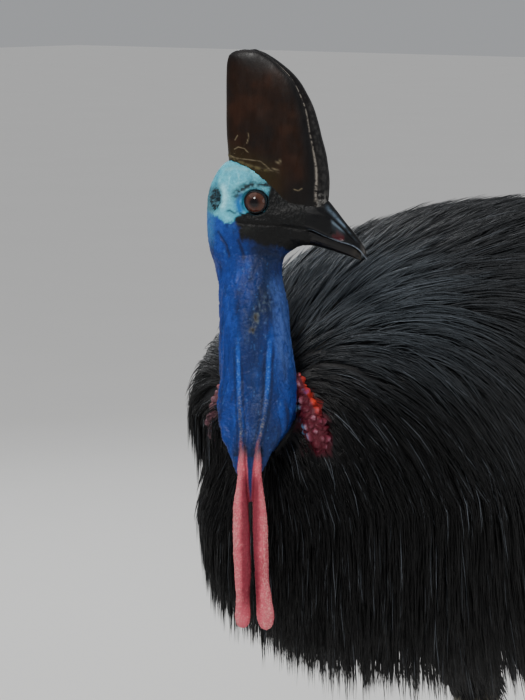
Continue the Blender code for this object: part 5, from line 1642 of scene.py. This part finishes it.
def build_ear_bristles(material, tree):
    """Short bristles over each ear opening."""
    chance = np.random.default_rng(37)
    count = EAR_TUFTS
    for label, side in SIDES.items():
        angle = chance.uniform(0, 2 * math.pi, count)
        radius = np.sqrt(chance.uniform(0, 1, count)) * 1.05
        forward = EAR_AT[0] + EAR_RADII[0] * radius * np.cos(angle)
        up = EAR_AT[1] + EAR_RADII[1] * radius * np.sin(angle)
        paths, outward = [], []
        for point in head_points(np.stack([forward, np.full(count, side * 0.06), up], axis=1)):
            hit, normal, _, _ = tree.ray_cast(Vector(point), Vector(-side * HEAD_AXES[1]))
            normal = np.array(normal)
            back = -0.75 * HEAD_AXES[0] - 0.65 * HEAD_AXES[2]
            down = unit(back + 0.25 * chance.normal(0, 1, 3))
            along = unit(down - normal * (down @ normal) + 0.18 * normal)
            steps = np.linspace(0, 1, PATH_STEPS + 1)[:, None] * chance.uniform(0.004, 0.0075)
            paths.append(np.array(hit) - normal * 0.0004 + along * steps)
            outward.append(np.tile(normal, (len(steps), 1)))
        paths, outward = np.array(paths), np.array(outward)
        corners, tuft = strands(paths, outward, 1.0, 0.00042, 0.0007, chance, 2, 0.0002)
        colours = np.array([12, 20, 26]) * chance.uniform(0.5, 2.2, (len(tuft), 1))
        uv = np.stack([0.5 + forward * 4, 0.5 + up * 4], axis=1)
        dress(strand_mesh(f"ear_bristles_{label}", corners, uv[tuft], colours), material, "coat")


def build_quills(material):
    for label, side in SIDES.items():
        shoulder, wrist = wing_line(side)
        parts = []
        for spread, length in zip(np.linspace(0, 1, len(QUILL_LENGTHS)), QUILL_LENGTHS):
            root = shoulder + (wrist - shoulder) * (0.98 - 0.45 * spread)
            root[2] -= 0.006
            rings = []
            for step in np.linspace(0, 1, 42):
                bend = math.radians(22 + 34 * spread) + QUILL_BEND * step
                back, down = math.cos(bend), math.sin(bend)
                centre = root + np.array([0.0, back, -down]) * length * step
                spread_out = (QUILL_SIDE - abs(root[0])) * math.sin(step * math.pi / 2) ** 1.3
                centre[0] = side * (abs(root[0]) + spread_out)
                size = QUILL_RADIUS * (1 - 0.55 * step)
                rings.append(oval(centre, (1, 0, 0), (0, down, back), size, size, turns(10)))
            parts.append(loft("form", rings[:-1], None, centre))
        made = combine(f"quills_{label}", parts)
        back = ramp(points_of(made)[:, 1], 0.05, 0.28)
        tint(made, paint((13, 12, 12), ((60, 50, 40), back * 0.7)))
        dress(made, material, "quill", f"wing_{label}")


# Feet


def plate(centre, along, across, out, length, half_width, curve):
    """One scute: a thin curved plate, thicker at its lower edge."""
    bow = np.linspace(-1, 1, 7)
    edge = np.sqrt(1 - bow**4 * 0.35)[:, None]
    rings = []
    for share, height in ((0.0, 0.15), (0.35, 0.75), (0.80, 1.0), (1.0, 0.55)):
        rise = SCUTE_RISE * height
        top = centre + along * (length * (share - 0.5)) * edge + np.outer(bow * half_width, across)
        top = top + np.outer(rise - curve * bow**2, out)
        rings.append(np.concatenate([top, top[::-1] - out * (rise + 0.0012)]))
    return tube(rings)


def build_scutes(material):
    """Plates down the front of the shank and along the top of each toe."""
    for label in SIDES:
        _, ankle, joint = leg_points(label)
        line, forward, left = limb_axes(ankle, joint)
        pitch = np.linalg.norm(joint - ankle) * 0.88 / SHANK_SCUTES
        chance = np.random.default_rng(41)
        parts = []
        for i, share in enumerate(np.linspace(0.10, 0.98, SHANK_SCUTES)):
            half_width, half_depth = smooth(SHANK_SECTIONS, share)[0]
            pair = i % 3 == 1
            for lean in (-0.42, 0.42) if pair else (0.0,):
                turn = lean + chance.uniform(-0.04, 0.04)
                centre = limb_point(ankle, joint, share, turn, half_width, half_depth)
                out = unit(math.cos(turn) * forward + math.sin(turn) * left)
                across = unit(np.cross(line, out))
                wide = half_width * (0.42 if pair else 0.74)
                curve = wide**2 / half_depth * 0.62
                centre = centre - out * 0.0004
                parts.append(plate(centre, line, across, out, pitch * 1.22, wide, curve))
        for toe in TOES:
            rings, along, across = toe_rings(label, toe)
            for share in 0.16 + 0.80 * np.linspace(0, 1, int(TOES[toe][1] / SCUTE_PITCH)):
                ring = rings[int(share * 39)]
                size = (ring[:, 2].max() - ring[:, 2].min()) / 1.7
                top, length = ring[0] - UP * 0.0005, SCUTE_PITCH * 1.15
                parts.append(plate(top, along, across, UP, length, size * 0.66, size * 0.24))
        points = np.concatenate([p for p, _ in parts])
        faces, base = [], 0
        for p, f in parts:
            faces += [[base + i for i in face] for face in f]
            base += len(p)
        made = make_object(f"scutes_{label}", points, faces)
        points = points_of(made)
        colour = paint(
            (150, 135, 100),
            ((70, 66, 60), ramp(layers(points, 60, 44), -0.1, 0.6) * 0.7),
            ((260, 235, 180), ramp(layers(points, 300, 45), 0.2, 0.8) * 0.4),
        )
        tint(made, colour)
        dress(made, material, "leg")


def build_claws(material):
    for label in SIDES:
        for toe, (_, _, radius, length) in TOES.items():
            rings, along, across = toe_rings(label, toe, 7)
            start = rings[-1].mean(axis=0) - along * 0.006
            made = []
            for share in np.linspace(0, 0.97, 44):
                size = radius * 0.42 * (1 - 0.80 * share**1.2)
                middle = start + along * (length + 0.006) * share
                sink = (start[2] - 0.0022) * share**1.6
                middle[2] = start[2] + 0.0035 * math.sin(share * math.pi) - sink
                ring = oval(middle, UP, across, size, size * 0.85, turns(32))
                ring[:, 2] = np.maximum(ring[:, 2], 0.0002)
                made.append(ring)
            tip = start + along * (length + 0.006)
            tip[2] = 0.0012
            claw = loft(f"claw_{toe}_{label}_horn", made, None, tip)
            points = points_of(claw)
            worn = (points - start) @ along / length + 0.15 * layers(points, 200, 47)
            tint(claw, paint((30, 27, 25), ((150, 130, 105), ramp(worn, 0.45, 1) * 0.75)))
            dress(claw, material, "claw", f"claw_{toe}_{label}")


# Stage


def build_stage():
    corners = [(-30, -30, 0), (30, -30, 0), (30, 30, 0), (-30, 30, 0)]
    floor = make_object("floor", corners, [[0, 1, 2, 3]])
    pale = (0.80, 0.79, 0.77, 1.0)
    floor.data.materials.append(material("floor", (1.5, 4.0, 0.6, 0.97, 1.03), 0.75, base=pale))
    world = bpy.data.worlds.new("studio")
    world.use_nodes = True
    background = world.node_tree.nodes["Background"].inputs
    background["Color"].default_value = (0.86, 0.88, 0.91, 1.0)
    background["Strength"].default_value = 0.42
    bpy.context.scene.world = world
    for name, (at, size, power, colour) in LAMPS.items():
        light = bpy.data.lights.new(name, "AREA")
        light.shape, light.size, light.energy, light.color = "DISK", size, power, colour
        lamp = put_in_scene(name, light)
        lamp.location = at
        aim = Vector(LAMPS_AIM) - Vector(at)
        lamp.rotation_euler = aim.to_track_quat("-Z", "Y").to_euler()
    light = bpy.data.lights.new("sky", "SUN")
    light.energy, light.angle = 0.75, math.radians(60)
    lamp = put_in_scene("sky", light)
    lamp.rotation_euler = Vector((0.35, 0.45, -1.0)).to_track_quat("-Z", "Y").to_euler()


def build_camera():
    backward = TO_CAMERA * math.cos(CAMERA_DIP) + UP * math.sin(CAMERA_DIP)
    data = bpy.data.cameras.new("camera")
    data.sensor_fit, data.sensor_height = "VERTICAL", SENSOR_HEIGHT
    data.lens = CAMERA_FOCAL * SENSOR_HEIGHT / PICTURE_HEIGHT
    data.clip_end = 200.0
    camera = put_in_scene("camera", data)
    axes = [PICTURE_RIGHT, np.cross(backward, PICTURE_RIGHT), backward]
    turned = Matrix(np.stack(axes, axis=1).tolist()).to_4x4()
    turned.translation = CAMERA_AT
    camera.matrix_world = turned
    bpy.context.scene.camera = camera


def main():
    build_camera()
    build_stage()
    plain = body_form()
    core = tree_of(plain)
    bpy.data.objects.remove(plain, do_unlink=True)
    pores = [(620.0, 0, 0, 0.55, 0.0004, True), (420.0, 5.0, 0.7, 0.5, 0.0007, True)]
    gloss = (260.0, 3.0, 0.6, True, 0.25, 0.75, 0.36, 0.62)
    skin = material("skin", (900.0, 3.0, 0.65, 0.62, 1.38), gloss, pores, 0.22)
    tree = build_skin(skin, core)
    build_bill(horn_material("bill", 0.22, 0.42, (0.3, 0.3, 1.0)))
    build_casque(horn_material("casque", 0.30, 0.50, (1.0, 1.0, 0.25), level=0.18))
    build_eyes(material("eye", (2200.0, 2.0, 0.6, 0.8, 1.2), 0.03, level=0.32))
    gloss = (180.0, 2.0, 0.6, False, 0.3, 0.7, 0.33, 0.49)
    barbs = [(1600.0, 2.0, 0.5, 0.35, 0.0003, True)]
    coat = material("coat", (500.0, 3.0, 0.7, 0.55, 1.5), gloss, barbs, 0.30, (1.0, 0.25, 0.25))
    build_coat(coat, core)
    build_thigh_coat(coat)
    build_ear_bristles(coat, tree)
    build_quills(horn_material("quill", 0.28, 0.45, (1.0, 0.2, 0.2)))
    build_scutes(horn_material("leg", 0.45, 0.70, (1.0, 1.0, 1.0), bump=0.5))
    build_claws(horn_material("claw", 0.28, 0.50, (1.0, 0.3, 1.0)))


main()
